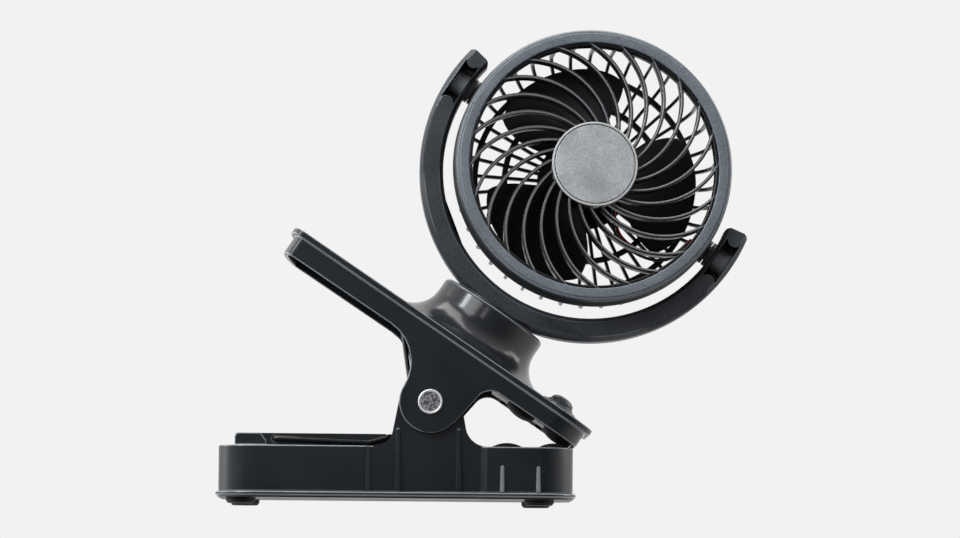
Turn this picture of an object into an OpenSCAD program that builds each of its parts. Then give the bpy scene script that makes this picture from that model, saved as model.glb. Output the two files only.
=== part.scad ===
// Portable camping fan: a tub base with a battery, a spring clamp jaw with a swivel turret,
// and a caged fan head that tilts in a C-shaped yoke.
// Millimetres. X runs along the base, Y across it (the fan faces -Y), Z up from the table.

/* [Base] */
// Length of the bottom cover
base_l = 181.5; // [170:0.5:210]
// Width of the base and of the clamp jaw
base_w = 100; // [94:1:120]
// Height of the tub's top edge above the table
tub_h = 29.2; // [28.5:0.1:38]
// Plan radius of the tub's corners
tub_r = 18; // [8:0.5:22]
// Thickness of the tub's walls
tub_wall = 2.4; // [1.8:0.1:3]
// Overhang of the bottom cover round the tub
cover_lip = 1.5; // [0.5:0.1:3]
// Thickness of the bottom cover
cover_t = 3.1; // [2:0.1:3.8]
// Length of the wide battery end, from the left end of the tub
wide_l = 74; // [66:0.5:80]
// How far the tub's sides are set in under the hinge
set_in = 2.5; // [1.5:0.1:4]
// Reach of the set-in sides past the hinge pin
set_in_past = 28.5; // [24:0.5:32]
// Rise of the deck above the tub's top edge
deck_rise = 6.2; // [5.6:0.1:9]
// Width of the deck between the arms of the hook
deck_w = 72; // [60:1:76]
// Distance from the tub's left end to the deck
deck_in = 8.3; // [5:0.1:12]
// Diameter of a foot
foot_d = 15; // [10:0.5:20]
// Height of a foot
foot_h = 3; // [2:0.1:5]

/* [Hinge] */
// Place of the hinge pin along the base
pin_x = 17; // [10:0.5:20]
// Rise of the hinge pin above the tub's top edge
pin_rise = 22.3; // [20:0.1:24]
// Diameter of the hinge pin
pin_d = 6; // [4:0.1:8]
// Diameter of the hinge pin's heads
pin_head_d = 12.4; // [9:0.1:14]
// Thickness of the hinge pin's heads
pin_head_t = 1.2; // [0.8:0.1:2]
// Radius of the hinge ears round the pin
ear_r = 15.5; // [13:0.1:17]
// Thickness of the base's ears
ear_t = 3; // [2.4:0.1:4]
// Wire diameter of the clamp springs
spring_wire = 2.2; // [1.6:0.1:2.8]
// Turns of each clamp spring
spring_turns = 4; // [3:1:6]

/* [Clamp jaw] */
// Slope of the closed jaw in degrees
jaw_tilt = 34; // [32:0.5:36]
// Length of the jaw from the pin to the handle's end wall
handle_l = 105; // [95:0.5:112]
// Length of the jaw from the pin to its tip
tip_l = 73; // [71:0.5:76]
// Height of the jaw's top plane over the pin, square to the jaw
jaw_rise = 34.5; // [32:0.1:38]
// Thickness of the jaw's top plate
jaw_top_t = 3.3; // [2.4:0.1:4]
// Thickness of the jaw's side walls
jaw_wall = 2.6; // [2:0.1:3.2]
// Overhang of the jaw's top plate round its walls
jaw_lip = 1; // [0.6:0.1:1.5]
// Plan radius of the jaw's handle corners
handle_r = 3; // [2:0.5:8]
// Bow of the handle's end
handle_bow = 4; // [1:0.5:8]
// Depth of the handle's side walls
handle_depth = 13.7; // [11:0.1:16]
// Diameter of an upper clamp pad
upper_pad_d = 16; // [12:0.5:17]
// Depth of the rear upper clamp pad
upper_pad_h = 2.8; // [2:0.1:5]
// Diameter of a lower clamp pad
lower_pad_d = 15; // [12:0.5:17]
// Height of a lower clamp pad
lower_pad_h = 2.4; // [1.5:0.1:3]
// Distance between the rows of clamp pads across the jaw
pad_pitch = 30; // [22:1:32]

/* [Turret] */
// Height of the turret above the jaw's top plane
turret_h = 24.1; // [20:0.1:30]
// Radius of the turret
turret_r = 29.5; // [26:0.1:32]
// Height of the flare at the turret's foot
flare_h = 16; // [12:0.1:18]
// Width of the flare at the turret's foot
flare_w = 19.2; // [14:0.1:19.4]
// Radius of the swivel disc
disc_r = 22.5; // [18:0.1:24]
// Radius of the swivel's hollow shaft
swivel_r = 7; // [5:0.1:9]

/* [Power button] */
// Distance of the button from the pin along the jaw
button_v = 55; // [52:0.5:58]
// Diameter of the button
button_d = 14.8; // [10:0.2:16]
// Height of the button over the jaw's top plane
button_h = 7.5; // [5:0.1:9]
// Travel of the button
button_travel = 1; // [0.6:0.1:1.2]

/* [Hanging hook] */
// Wire diameter of the hook
hook_wire = 2.8; // [2:0.1:3]
// Reach of the hook from its pivot to its cross bar
hook_reach = 58; // [50:0.5:60]
// Distance of the hook's pivot from the deck's left end
hook_in = 20; // [18:0.5:24]

/* [Fan head] */
// Outer radius of the bezel
bezel_r = 71.1; // [66:0.1:76]
// Width of the bezel's front band
bezel_band = 7.1; // [5:0.1:9]
// Depth of the bezel
bezel_depth = 15; // [13:0.1:18]
// Tilt of the head in the yoke in degrees, as it stands
head_tilt = 9.5; // [0:0.5:15]
// Radius of the hub cap
hub_r = 21.9; // [18:0.1:26]
// Rise of the hub cap's face over the bezel
hub_rise = 2; // [1:0.1:6]
// Number of front ribs
front_ribs = 24; // [16:1:30]
// Thickness of a front rib
front_rib_t = 2; // [0.9:0.1:2.4]
// Depth of a front rib
front_rib_depth = 7; // [3:0.1:8]
// Sweep of a front rib from hub to rim in degrees
rib_sweep = 55; // [35:1:60]
// Number of ribs of the rear cage
rear_ribs = 40; // [24:1:48]
// Thickness of a rear rib
rear_rib_t = 1.7; // [1.2:0.1:2.4]
// Depth of the rear cage behind the bezel
cage_depth = 34; // [32:0.1:38]
// Radius of the rear cage's rounded corner
cage_round = 13; // [6:0.1:15]

/* [Propeller and motor] */
// Radius of the propeller
prop_r = 56.5; // [44:0.1:58]
// Number of blades
blades = 3; // [3:1:5]
// Angle that a blade covers
blade_angle = 84; // [50:1:100]
// Rise of a blade from edge to edge
blade_rise = 13; // [8:0.1:14]
// Thickness of a blade
blade_t = 1.6; // [1.2:0.1:2]
// Radius of the propeller's hub
prop_hub_r = 16; // [15:0.1:18]
// Radius of the motor
motor_r = 11.9; // [10:0.1:12.4]

/* [Yoke] */
// Gap between the bezel and the yoke
yoke_gap = 3.9; // [3.4:0.1:7]
// Radial thickness of the yoke
yoke_t = 12.1; // [11:0.1:14]
// Depth of the yoke from front to back
yoke_w = 21; // [19:0.5:26]
// Angle of the yoke past each pivot
yoke_past = 12.4; // [11:0.1:14]
// Diameter of the yoke's pivot pins
pivot_d = 8; // [6:0.1:9]

/* [Clearances] */
// Radial clearance of a pin or shaft that turns in its bore
run_fit = 0.1; // [0.06:0.01:0.15]
// Radial clearance of a pin or screw that is fixed in its bore
fix_fit = 0.02; // [0.01:0.01:0.04]
// Gap between faces that move past each other
slide_gap = 0.4; // [0.3:0.05:0.6]
// Gap at the tip of the closed jaw
tip_gap = 0.4; // [0.3:0.05:0.6]

/* [Hidden] */

$fn = 72;
lap = 0.5;  // how far solids of one piece run into each other

// base, heights from the table up
cover_z = foot_h + cover_t;               // top of the bottom cover
deck_z = tub_h + deck_rise;
pin_z = tub_h + pin_rise;
tub_x0 = -base_l / 2 + cover_lip;
tub_x1 = base_l / 2 - cover_lip;
wide_hw = base_w / 2 - cover_lip;         // half width of the battery end
narrow_hw = wide_hw - set_in;             // half width under the hinge, outside of the ears
deck_x0 = tub_x0 + deck_in;
deck_hw = deck_w / 2;
foot_x = [tub_x0 + 11.5, tub_x1 - 17];
foot_y = base_w / 2 - 14;
boss_r = 3.6;
screw_r = 1.3;
screw_head_r = 2.8;
cover_screw_x = [tub_x0 + 6.5 + boss_r, tub_x1 - 8.5 - boss_r];
gusset_dx = [-15.9, 14.6];                // gussets under the ears, from the pin
gusset_w = 2.6;
gusset_proud = 1.9;
gusset_drop = 13.5;                       // from the pin down to a gusset's top
rib_pitch = 18.1;                         // small ribs, the last one where the tub's corner begins
rib_x = [tub_x1 - tub_r + 0.35 - rib_pitch, tub_x1 - tub_r + 0.35];
rib_w = 2;
rib_proud = cover_lip;
rib_drop = 9.7;                           // from the tub's top edge down to a small rib's top
cover_screw_y = narrow_hw - tub_wall - boss_r - 1.5;

// batteries and boards in the base
cell_d = 18.2;
cell_l = 65;
cell_pitch = cell_d + 0.6;
cell_x0 = tub_x0 + 17.5;
tray_t = 1.4;
cell_z = cover_z + tray_t + 0.2 + cell_d / 2;
board_t = 1.6;
board_gap = 16;                           // from the cells to the control board
board_l = 42;
board_w = 44;
board_lift = 4;
post_r = 2;
port_w = 9;
port_h = 3.3;
port_z = (cover_z + tub_h) / 2;

// jaw, in its own frame: X along the jaw to its tip, Z square to it, origin in the pin
jaw_hw = base_w / 2 - jaw_lip;            // outside of the jaw's walls
jaw_in = jaw_hw - jaw_wall;               // inside of the jaw's walls
under_u = jaw_rise - jaw_top_t;           // underside of the top plate
edge_u = (-pin_rise + tip_gap + tip_l * sin(jaw_tilt)) / cos(jaw_tilt);
handle_edge_u = jaw_rise - handle_depth;
tip_r = min(tub_r, 18);
turret_u = jaw_rise + turret_h;
turret_in = turret_r - 2.8;               // inside of the turret
disc_sink = 1.4;                          // how deep the swivel disc lies in the turret
disc_u = turret_u - disc_sink + slide_gap;
disc_top_u = turret_u + 0.9;
roof_u = turret_u - disc_sink - 3;        // underside of the turret's roof
retainer_t = 2.4;
spigot_r = swivel_r - 2;                  // the swivel's end in the yoke's foot
spigot_h = 4;
cover_u = edge_u + 1.2;                   // underside of the jaw's under cover
under_cover_t = 2;
under_cover_v = [22, tip_l - 1.2];
under_cover_top = cover_u + under_cover_t;
pad_v = [40, 62.2];
jaw_screw_v = [29, 51.5];
jaw_screw_y = jaw_in - boss_r - 0.5;
button_r = button_d / 2;
button_flange_t = 1.4;
button_seat_u = under_u - slide_gap;      // top of the button's flange
switch_u = button_seat_u - button_flange_t - button_travel - 0.2;
switch_board_u = switch_u - 0.8;          // top of the switch board
collar_r = button_r + 2.3;
collar_h = 2.6;

// lower pads stand under the upper ones when the jaw is closed
lower_pad_dx = [39, 62.5];
lower_pad_x = [pin_x + lower_pad_dx[0], pin_x + lower_pad_dx[1]];
pad_rows = [-1, 0, 1];

// a dome's sphere radius from its foot radius and its height
function dome_r(a, h) = (a * a + h * h) / (2 * h);
// room between the front upper pad of depth h and the lower pad beneath it, when the jaw is closed
function pad_room(h) =
    let (up = dome_r(upper_pad_d / 2, h), low = dome_r(lower_pad_d / 2, lower_pad_h),
         v = pad_v[1], u = cover_u - h + up,
         x = pin_x + v * cos(jaw_tilt) + u * sin(jaw_tilt),
         z = pin_z - v * sin(jaw_tilt) + u * cos(jaw_tilt))
    min(norm([x - lower_pad_x[1], z - tub_h - lower_pad_h + low]) - up - low, z - up - tub_h);
function deepest(lo, hi, n) =
    n == 0 ? lo : let (m = (lo + hi) / 2)
        pad_room(m) > slide_gap ? deepest(m, hi, n - 1) : deepest(lo, m, n - 1);
front_pad_h = deepest(0.5, upper_pad_h, 12);

// hook, in its pivot's frame: X towards the hinge
hook_r = hook_wire / 2;
hook_x = deck_x0 + hook_in;
hook_z = deck_z - hook_r - 1.3;
hook_y = deck_hw + hook_r + slide_gap;    // centre line of an arm
hook_low = tub_h + slide_gap + hook_r - hook_z;
hook_high = deck_z - hook_r - hook_z;      // the cross bar lies in a groove across the deck
groove_x = hook_x + hook_reach;
hook_bend = hook_reach - 11;
cheek_y = hook_y + hook_r + slide_gap;
cheek_t = 4;
cheek_l = 16;
hook_grip = 4;                            // how far a hook end reaches into the deck

// fan head, in its own frame: X along the tilt pivots, Z towards the front
yoke_r = bezel_r + yoke_gap;
yoke_out = yoke_r + yoke_t;
yoke_flat = yoke_out - 2.5;               // distance of the yoke's foot from its centre
head_u = disc_top_u + yoke_flat;          // height of the head's centre over the pin
yoke_wall = 2;
yoke_a = 90 + yoke_past;                  // half angle of the yoke from its foot
end_r = 3;                                // corner radius of the yoke's ends
end_off = 0.06;                           // lets the corners cut the yoke's arcs
yoke_edge_in = 1.9;                       // chamfers along the yoke's front face
yoke_edge_out = 2.6;
pocket_r0 = yoke_r + yoke_edge_in;
pocket_r1 = yoke_out - yoke_edge_out;
pocket_l = 22;
pocket_boss = 1.8;                        // how far the half-round bosses stand into a pocket's ends
pivot_r = pivot_d / 2;
pivot_head_r = pivot_r + 2.2;
pocket_depth = yoke_w / 2 + pivot_head_r + 0.6;
pivot_boss_r = pivot_r + 2.6;
boss_face = bezel_r + 1.3;                // where the head's pivot boss ends
yoke_boss_face = boss_face + slide_gap;
bezel_z0 = 5;
bezel_z1 = bezel_z0 + bezel_depth;
bezel_in = bezel_r - bezel_band;
hub_z = bezel_z1 + hub_rise;              // face of the hub cap
hub_cap_t = 3;
cage_z = bezel_z0 - cage_depth;           // back of the cage's ribs
cage_r = bezel_r - 2.2;
cage_ring_t = 2;
rib_in = 2.6;                             // depth of the rear ribs
rib_out = cage_r - 0.9;                   // where the rear ribs run along the barrel
cage_rings = [56.5, 41];
motor_plate_r = 24;
motor_plate_t = 2.4;
motor_z0 = cage_z + motor_plate_t;
cage_barrel = [bezel_z0 - 8.5, bezel_z0 + 6];  // the cage's wall inside the bezel
motor_l = 20;
motor_screw_a = [45, 225];
yoke_screw_l = 12;
spring_coil_r = 8.5;
spring_y = 29;                            // outer end of a clamp spring from the middle of the jaw
spring_foot = 11;                         // reach of its lower leg from the pin
spring_reach = 12;                        // reach of its upper leg past the turret's inside
shaft_r = 1.15;
prop_z = motor_z0 + motor_l + 1.2;        // inside of the propeller hub's face
prop_face_t = 2.2;
prop_skirt = 13;
blade_z = prop_z - 5;
blade_phase = 27.5;
lead_r = 0.8;

// the frame's origin is under the middle of the part's box, on the table
head_x = pin_x + head_u * sin(jaw_tilt);
part_x1 = head_x + (yoke_out + end_off - end_r) * cos(yoke_a - 92 - jaw_tilt) + end_r;
mid_x = (part_x1 - base_l / 2) / 2;
module at_origin() { translate([-mid_x, 0, 0]) children(); }

module on_pin() { translate([pin_x, 0, pin_z]) children(); }
module jaw_frame() { on_pin() rotate([0, jaw_tilt, 0]) children(); }
module yoke_frame_at() { jaw_frame() translate([0, 0, head_u]) rotate([90, 0, 0]) children(); }
module head_frame() {
    jaw_frame() translate([0, 0, head_u]) rotate([90 - head_tilt, 0, 0]) children();
}
// an outline drawn in X and Z, h thick in Y and centred on y
module upright(y, h) { translate([0, y + h / 2, 0]) rotate([90, 0, 0]) linear_extrude(h) children(); }
module both_sides() { children(); mirror([0, 1, 0]) children(); }

// rectangle from x0 to x1 with corner radius r0 at x0 and r1 at x1
module plan_rect(x0, x1, hw, r0, r1) {
    translate([x0 + r0, -hw]) square([x1 - r1 - x0 - r0, 2 * hw]);
    translate([x0, -hw + r0]) square([r0 + lap, 2 * (hw - r0)]);
    translate([x1 - r1 - lap, -hw + r1]) square([r1 + lap, 2 * (hw - r1)]);
    for (s = [-1, 1]) {
        translate([x0 + r0, s * (hw - r0)]) circle(r0);
        translate([x1 - r1, s * (hw - r1)]) circle(r1);
    }
}

// outline with rounded corners, from rows of x, y and corner radius
function unit(a) = a / norm(a);
function rounded(rows, n = 7) = [
    for (i = [0 : len(rows) - 1])
        let (b = [rows[i][0], rows[i][1]], r = rows[i][2],
             before = rows[(i + len(rows) - 1) % len(rows)], after = rows[(i + 1) % len(rows)],
             p = unit([before[0], before[1]] - b), q = unit([after[0], after[1]] - b))
        if (r == 0) b
        else
            let (half = acos(p * q) / 2, c = b + unit(p + q) * r / sin(half),
                 s = b + p * r / tan(half) - c, e = b + q * r / tan(half) - c,
                 a0 = atan2(s[1], s[0]), turn = (atan2(e[1], e[0]) - a0 + 540) % 360 - 180)
            each [for (k = [0 : n]) c + r * [cos(a0 + turn * k / n), sin(a0 + turn * k / n)]]
];

// round bar along a path, with a ring of sides at each point
function cross3(a, b) = [a[1] * b[2] - a[2] * b[1], a[2] * b[0] - a[0] * b[2], a[0] * b[1] - a[1] * b[0]];
module tube(path, r, up = [0, 0, 1], sides = 8) {
    n = len(path);
    rings = [
        for (i = [0 : n - 1])
            let (t = unit(path[min(i + 1, n - 1)] - path[max(i - 1, 0)]),
                 a = unit(cross3(up, t)), b = cross3(t, a))
            for (k = [0 : sides - 1])
                path[i] + r * (a * cos(360 * k / sides) + b * sin(360 * k / sides))
    ];
    walls = [
        for (i = [0 : n - 2], k = [0 : sides - 1])
            let (m = (k + 1) % sides)
            each [
                [i * sides + k, i * sides + m, (i + 1) * sides + m],
                [i * sides + k, (i + 1) * sides + m, (i + 1) * sides + k]
            ]
    ];
    ends = [
        [for (k = [sides - 1 : -1 : 0]) k],
        [for (k = [0 : sides - 1]) (n - 1) * sides + k]
    ];
    polyhedron(rings, [for (f = concat(walls, ends)) [for (j = [len(f) - 1 : -1 : 0]) f[j]]]);
}

// dome with foot radius a and height h on the plane z = 0
module dome(a, h) {
    r = dome_r(a, h);
    intersection() {
        translate([0, 0, h - r]) sphere(r);
        cylinder(r = a + 1, h = h + 1);
    }
}

// ---- base ----
module tub_plan(inset) {
    x0 = tub_x0 + wide_l - inset * sqrt(2) - 1;
    x1 = pin_x + set_in_past + inset * sqrt(2) + 1;
    in = narrow_hw - inset;
    out = wide_hw + 1;
    difference() {
        plan_rect(tub_x0 + inset, tub_x1 - inset, wide_hw - inset, tub_r - inset, tub_r - inset);
        // the sides step in under the hinge
        for (s = [-1, 1]) scale([1, s])
            polygon([[x0, out], [x0 + out - in, in], [x1 - out + in, in], [x1, out]]);
    }
}

// base ear in X and Z about the pin, down to the tub
ear_low = -pin_rise - 6;
module base_ear_outline() {
    polygon(rounded([
        [-34, -pin_rise, 0], [-20.1, -pin_rise, 9], [-15, 4, 0], [15.3, 2.4, 0],
        [19.6, -pin_rise, 11], [36, -pin_rise, 0], [36, ear_low, 0], [-34, ear_low, 0]
    ]));
    circle(ear_r);
}

// rib on a wall whose outside is at hw, narrower and shallower to its top
module gusset(x, top, w, proud, hw) {
    intersection() {
        translate([x + w / 2, 0, 0]) rotate([90, 0, -90]) linear_extrude(w)
            polygon([
                [hw - lap, top], [hw + proud / 3, top],
                [hw + proud, cover_z + 2], [hw + proud, cover_z], [hw - lap, cover_z]
            ]);
        upright(-hw, 2 * proud + 2) polygon([
            [x - w / 2, cover_z], [x - 0.38 * w, top - 0.3 * w], [x - 0.2 * w, top],
            [x + 0.2 * w, top], [x + 0.38 * w, top - 0.3 * w], [x + w / 2, cover_z]
        ]);
    }
}

module deck() {
    translate([0, 0, tub_h - tub_wall]) linear_extrude(deck_rise + tub_wall)
        plan_rect(deck_x0, pin_x + 6, deck_hw, 5, 3);
    // cheeks outside the arms of the hook
    both_sides() upright(-cheek_y - cheek_t / 2, cheek_t)
        polygon(rounded([
            [deck_x0, tub_h - lap, 0], [deck_x0, deck_z, 2], [deck_x0 + cheek_l - 3, deck_z, 1],
            [deck_x0 + cheek_l, deck_z - 4, 0], [deck_x0 + cheek_l, tub_h - lap, 0]
        ]));
}

module base_shell() {
    color("dimgray") difference() {
        union() {
            translate([0, 0, cover_z]) linear_extrude(tub_h - cover_z) tub_plan(0);
            deck();
            both_sides() {
                upright(-narrow_hw + ear_t / 2, ear_t) translate([pin_x, pin_z]) base_ear_outline();
                on_pin() rotate([90, 0, 0]) translate([0, 0, narrow_hw - ear_t - 3])
                    cylinder(r = pin_d / 2 + 3, h = 3 + lap);
                for (x = gusset_dx) gusset(pin_x + x, pin_z - gusset_drop, gusset_w, gusset_proud, narrow_hw);
                for (x = rib_x) gusset(x, tub_h - rib_drop, rib_w, rib_proud, wide_hw);
            }
        }
        difference() {
            translate([0, 0, cover_z - 1]) linear_extrude(tub_h - tub_wall - cover_z + 1)
                tub_plan(tub_wall);
            for (x = cover_screw_x, s = [-1, 1]) translate([x, s * cover_screw_y, 0])
                cylinder(r = boss_r, h = tub_h);
        }
        translate([0, 0, tub_h - tub_wall - lap]) linear_extrude(deck_rise + lap)
            plan_rect(deck_x0 + tub_wall, groove_x - hook_r - slide_gap - tub_wall, deck_hw - tub_wall, 3, 2);
        // groove for the hook's cross bar
        translate([groove_x - hook_r - slide_gap, -deck_hw - 1, deck_z - hook_wire - slide_gap])
            cube([hook_wire + 2 * slide_gap, 2 * deck_hw + 2, hook_wire + 2]);
        on_pin() rotate([90, 0, 0])
            cylinder(r = pin_d / 2 + fix_fit, h = base_w, center = true);
        for (s = [-1, 1]) translate([hook_x, s * deck_hw, hook_z]) rotate([90, 0, 0])
            cylinder(r = hook_r + run_fit, h = 2 * hook_grip + 1, center = true);
        for (x = cover_screw_x, s = [-1, 1]) translate([x, s * cover_screw_y, cover_z - 1])
            cylinder(r = screw_r + fix_fit, h = 11);
        translate([tub_x0 - 1, -port_w / 2 - 0.3, port_z - port_h / 2 - 0.3])
            cube([tub_wall + 2, port_w + 0.6, port_h + 0.6]);
    }
}

module cover_plan(inset) {
    plan_rect(-base_l / 2 + inset, base_l / 2 - inset, base_w / 2 - inset,
        tub_r + cover_lip - inset, tub_r + cover_lip - inset);
}

module base_cover() {
    color("darkslategray") difference() {
        union() {
            translate([0, 0, foot_h]) linear_extrude(1.2) cover_plan(1.1);
            translate([0, 0, foot_h + 1]) linear_extrude(cover_t - 1) cover_plan(0);
        }
        for (x = cover_screw_x, s = [-1, 1]) translate([x, s * cover_screw_y, 0]) {
            cylinder(r = screw_r + fix_fit, h = cover_z + 1);
            cylinder(r = screw_head_r + 0.3, h = foot_h + 1.4);
        }
    }
}

module rubber_feet() {
    color("black") for (x = foot_x, s = [-1, 1]) translate([x, s * foot_y, 0]) {
        cylinder(r = foot_d / 2 - 0.6, h = foot_h);
        translate([0, 0, 0.8]) cylinder(r = foot_d / 2, h = foot_h - 0.8);
    }
}

// pan-head screw with its head's underside at z = 0 and its shank upwards
module screw(l) {
    cylinder(r = screw_r, h = l);
    difference() {
        translate([0, 0, -1.3]) cylinder(r = screw_head_r, h = 1.3);
        translate([0, 0, -1.4]) linear_extrude(0.9) for (a = [0, 90]) rotate(a)
            square([2.8, 0.6], center = true);
    }
}

module cover_screws() {
    color("silver") for (x = cover_screw_x, s = [-1, 1])
        translate([x, s * cover_screw_y, foot_h + 1.4]) screw(9);
}

module battery_cells() {
    color("seagreen") for (k = [-1, 0, 1]) translate([cell_x0, k * cell_pitch, cell_z]) rotate([0, 90, 0]) {
        cylinder(r = cell_d / 2, h = cell_l - 1.2);
        cylinder(r = 3.2, h = cell_l);
    }
}

module battery_cradle() {
    w = 3 * cell_pitch + 2;
    color("lightgray") difference() {
        union() {
            translate([cell_x0 - 2.4, -w / 2, cover_z]) cube([cell_l + 4.8, w, tray_t]);
            for (x = [cell_x0 - 2.4, cell_x0 + cell_l + 0.4]) translate([x, -w / 2, cover_z])
                cube([2, w, cell_z - cover_z + 3]);
        }
    }
}

module control_board() {
    x0 = cell_x0 + cell_l + board_gap;
    top = cover_z + board_lift + board_t;
    color("darkgreen") {
        translate([x0, -board_w / 2, top - board_t]) cube([board_l, board_w, board_t]);
        for (x = [x0 + 2 * post_r, x0 + board_l - 2 * post_r], s = [-1, 1])
            translate([x, s * (board_w / 2 - 2 * post_r), cover_z]) cylinder(r = post_r, h = board_lift + lap);
        // a chip and a coil
        translate([x0 + board_l * 0.14, -board_w * 0.27, top - lap])
            cube([board_l * 0.28, board_w * 0.23, 2.5 * board_t]);
        translate([x0 + board_l * 0.62, board_w * 0.14, top - lap]) cylinder(r = 2.5 * board_t, h = 5.5 * board_t);
    }
}

module port_board() {
    color("darkgreen") {
        translate([tub_x0 + tub_wall + 5.4, -11, cover_z]) cube([board_t, 22, port_z - cover_z + 5]);
    }
}

module charging_port() {
    color("silver") difference() {
        translate([tub_x0 + 0.4, -port_w / 2, port_z - port_h / 2]) cube([tub_wall + 5, port_w, port_h]);
        translate([tub_x0, -port_w / 2 + 0.4, port_z - port_h / 2 + 0.4])
            cube([tub_wall + 4, port_w - 0.8, port_h - 0.8]);
    }
}

module lower_pads() {
    color("black") for (x = lower_pad_x, k = pad_rows) translate([x, k * pad_pitch, tub_h])
        dome(lower_pad_d / 2, lower_pad_h);
}

module hinge_pin() {
    color("silver") on_pin() rotate([90, 0, 0]) {
        cylinder(r = pin_d / 2, h = 2 * (jaw_hw + slide_gap) + lap, center = true);
        for (s = [-1, 1]) translate([0, 0, s * (jaw_hw + slide_gap + pin_head_t / 2)]) {
            cylinder(r = pin_head_d / 2, h = pin_head_t, center = true);
        }
    }
}

// coil spring beside the ear, with one leg on the deck and one under the jaw's plate
module clamp_springs() {
    coil_r = spring_coil_r;
    r = spring_wire / 2;
    pitch = spring_wire + 0.5;
    steps = spring_turns * 12;
    foot = [-spring_foot, deck_z - pin_z + r + 0.15];
    top_v = -turret_in - spring_reach;
    top = [top_v * cos(jaw_tilt) + (under_u - r - 0.3) * sin(jaw_tilt),
           -top_v * sin(jaw_tilt) + (under_u - r - 0.3) * cos(jaw_tilt)];
    // both legs leave the coil along its tangent
    a0 = atan2(foot[1], foot[0]) - acos(coil_r / norm(foot)) + 360;
    turn = a0 - atan2(top[1], top[0]) - acos(coil_r / norm(top)) + 360 * spring_turns;
    coil = [
        for (i = [0 : steps]) let (a = a0 - turn * i / steps)
            [coil_r * cos(a), pitch * turn / 360 * i / steps, coil_r * sin(a)]
    ];
    color("gainsboro") on_pin() both_sides() translate([0, -spring_y, 0])
        tube(concat([[foot[0], 0, foot[1]]], coil, [[top[0], pitch * turn / 360, top[1]]]), r,
            up = [0, 1, 0], sides = 8);
}

// ---- hook ----
module bar(from, to, r) {
    d = to - from;
    translate(from) rotate([0, acos(d[2] / norm(d)), atan2(d[1], d[0])]) cylinder(r = r, h = norm(d));
}

module hanging_hook() {
    path = [[0, hook_y, 0], [hook_bend, hook_y, hook_low], [hook_reach, hook_y, hook_high]];
    color("dimgray") translate([hook_x, 0, hook_z]) {
        both_sides() {
            translate([0, deck_hw - hook_grip, 0]) rotate([-90, 0, 0])
                cylinder(r = hook_r, h = hook_y - deck_hw + hook_grip);
            for (i = [0, 1]) bar(path[i], path[i + 1], hook_r);
            // round knees in the wire, each turned away from both of its bars
            for (i = [0 : 2]) translate(path[i]) rotate(135 - 45 * i) sphere(hook_r + 0.1);
        }
        translate([hook_reach, 0, hook_high]) rotate([90, 0, 0])
            cylinder(r = hook_r, h = 2 * hook_y, center = true);
    }
}

// ---- jaw ----
// plan from the handle's bowed end at x0 to the rounded tip at x1
module jaw_shape(x0, x1, hw, r0, r1, bow) {
    bow_r = (hw * hw + bow * bow) / (2 * bow);
    polygon(rounded(concat(
        [[x1 - r1, -hw, 0], [x1 - r1, hw, 0], [x0 + bow, hw, r0]],
        [for (k = [9 : -1 : -9]) [x0 + bow_r - sqrt(bow_r * bow_r - pow(0.1 * k * hw, 2)), 0.1 * k * hw, 0]],
        [[x0 + bow, -hw, r0]]
    )));
    translate([x1 - r1 - lap, -hw + r1]) square([r1 + lap, 2 * (hw - r1)]);
    for (s = [-1, 1]) translate([x1 - r1, s * (hw - r1)]) circle(r1);
}
module jaw_plan(inset) {
    jaw_shape(-handle_l + inset, tip_l - inset, jaw_hw - inset, max(handle_r - inset, 1), tip_r - inset,
        handle_bow * pow((jaw_hw - inset) / jaw_hw, 2));
}

module jaw_side_outline() {
    polygon(rounded([
        [-handle_l - 1, jaw_rise, 0], [-handle_l - 1, handle_edge_u, 0], [-15.4, handle_edge_u + 0.5, 23],
        [-ear_r, 0, 0], [0, -2, 0], [16, -2, 0], [19.2, edge_u, 8],
        [tip_l + 1, edge_u, 0], [tip_l + 1, jaw_rise, 0]
    ]));
    circle(ear_r + 0.1);
}

// the turret's outside, flared into the jaw's top
function flare_at(z) = flare_w * (1 - sqrt(1 - pow(z / flare_h, 2)));
module turret_outside() {
    rotate_extrude() polygon(concat(
        [[0, turret_u], [turret_r - 1.8, turret_u], [turret_r - 0.5, turret_u - 0.6], [turret_r, turret_u - 2]],
        [for (k = [0 : 8]) let (z = flare_h * sin(90 * k / 8) * 0.999)
            [turret_r + flare_at(z), jaw_rise + flare_h - z]],
        [[turret_r + flare_w, under_u + lap], [0, under_u + lap]]
    ));
}

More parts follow.
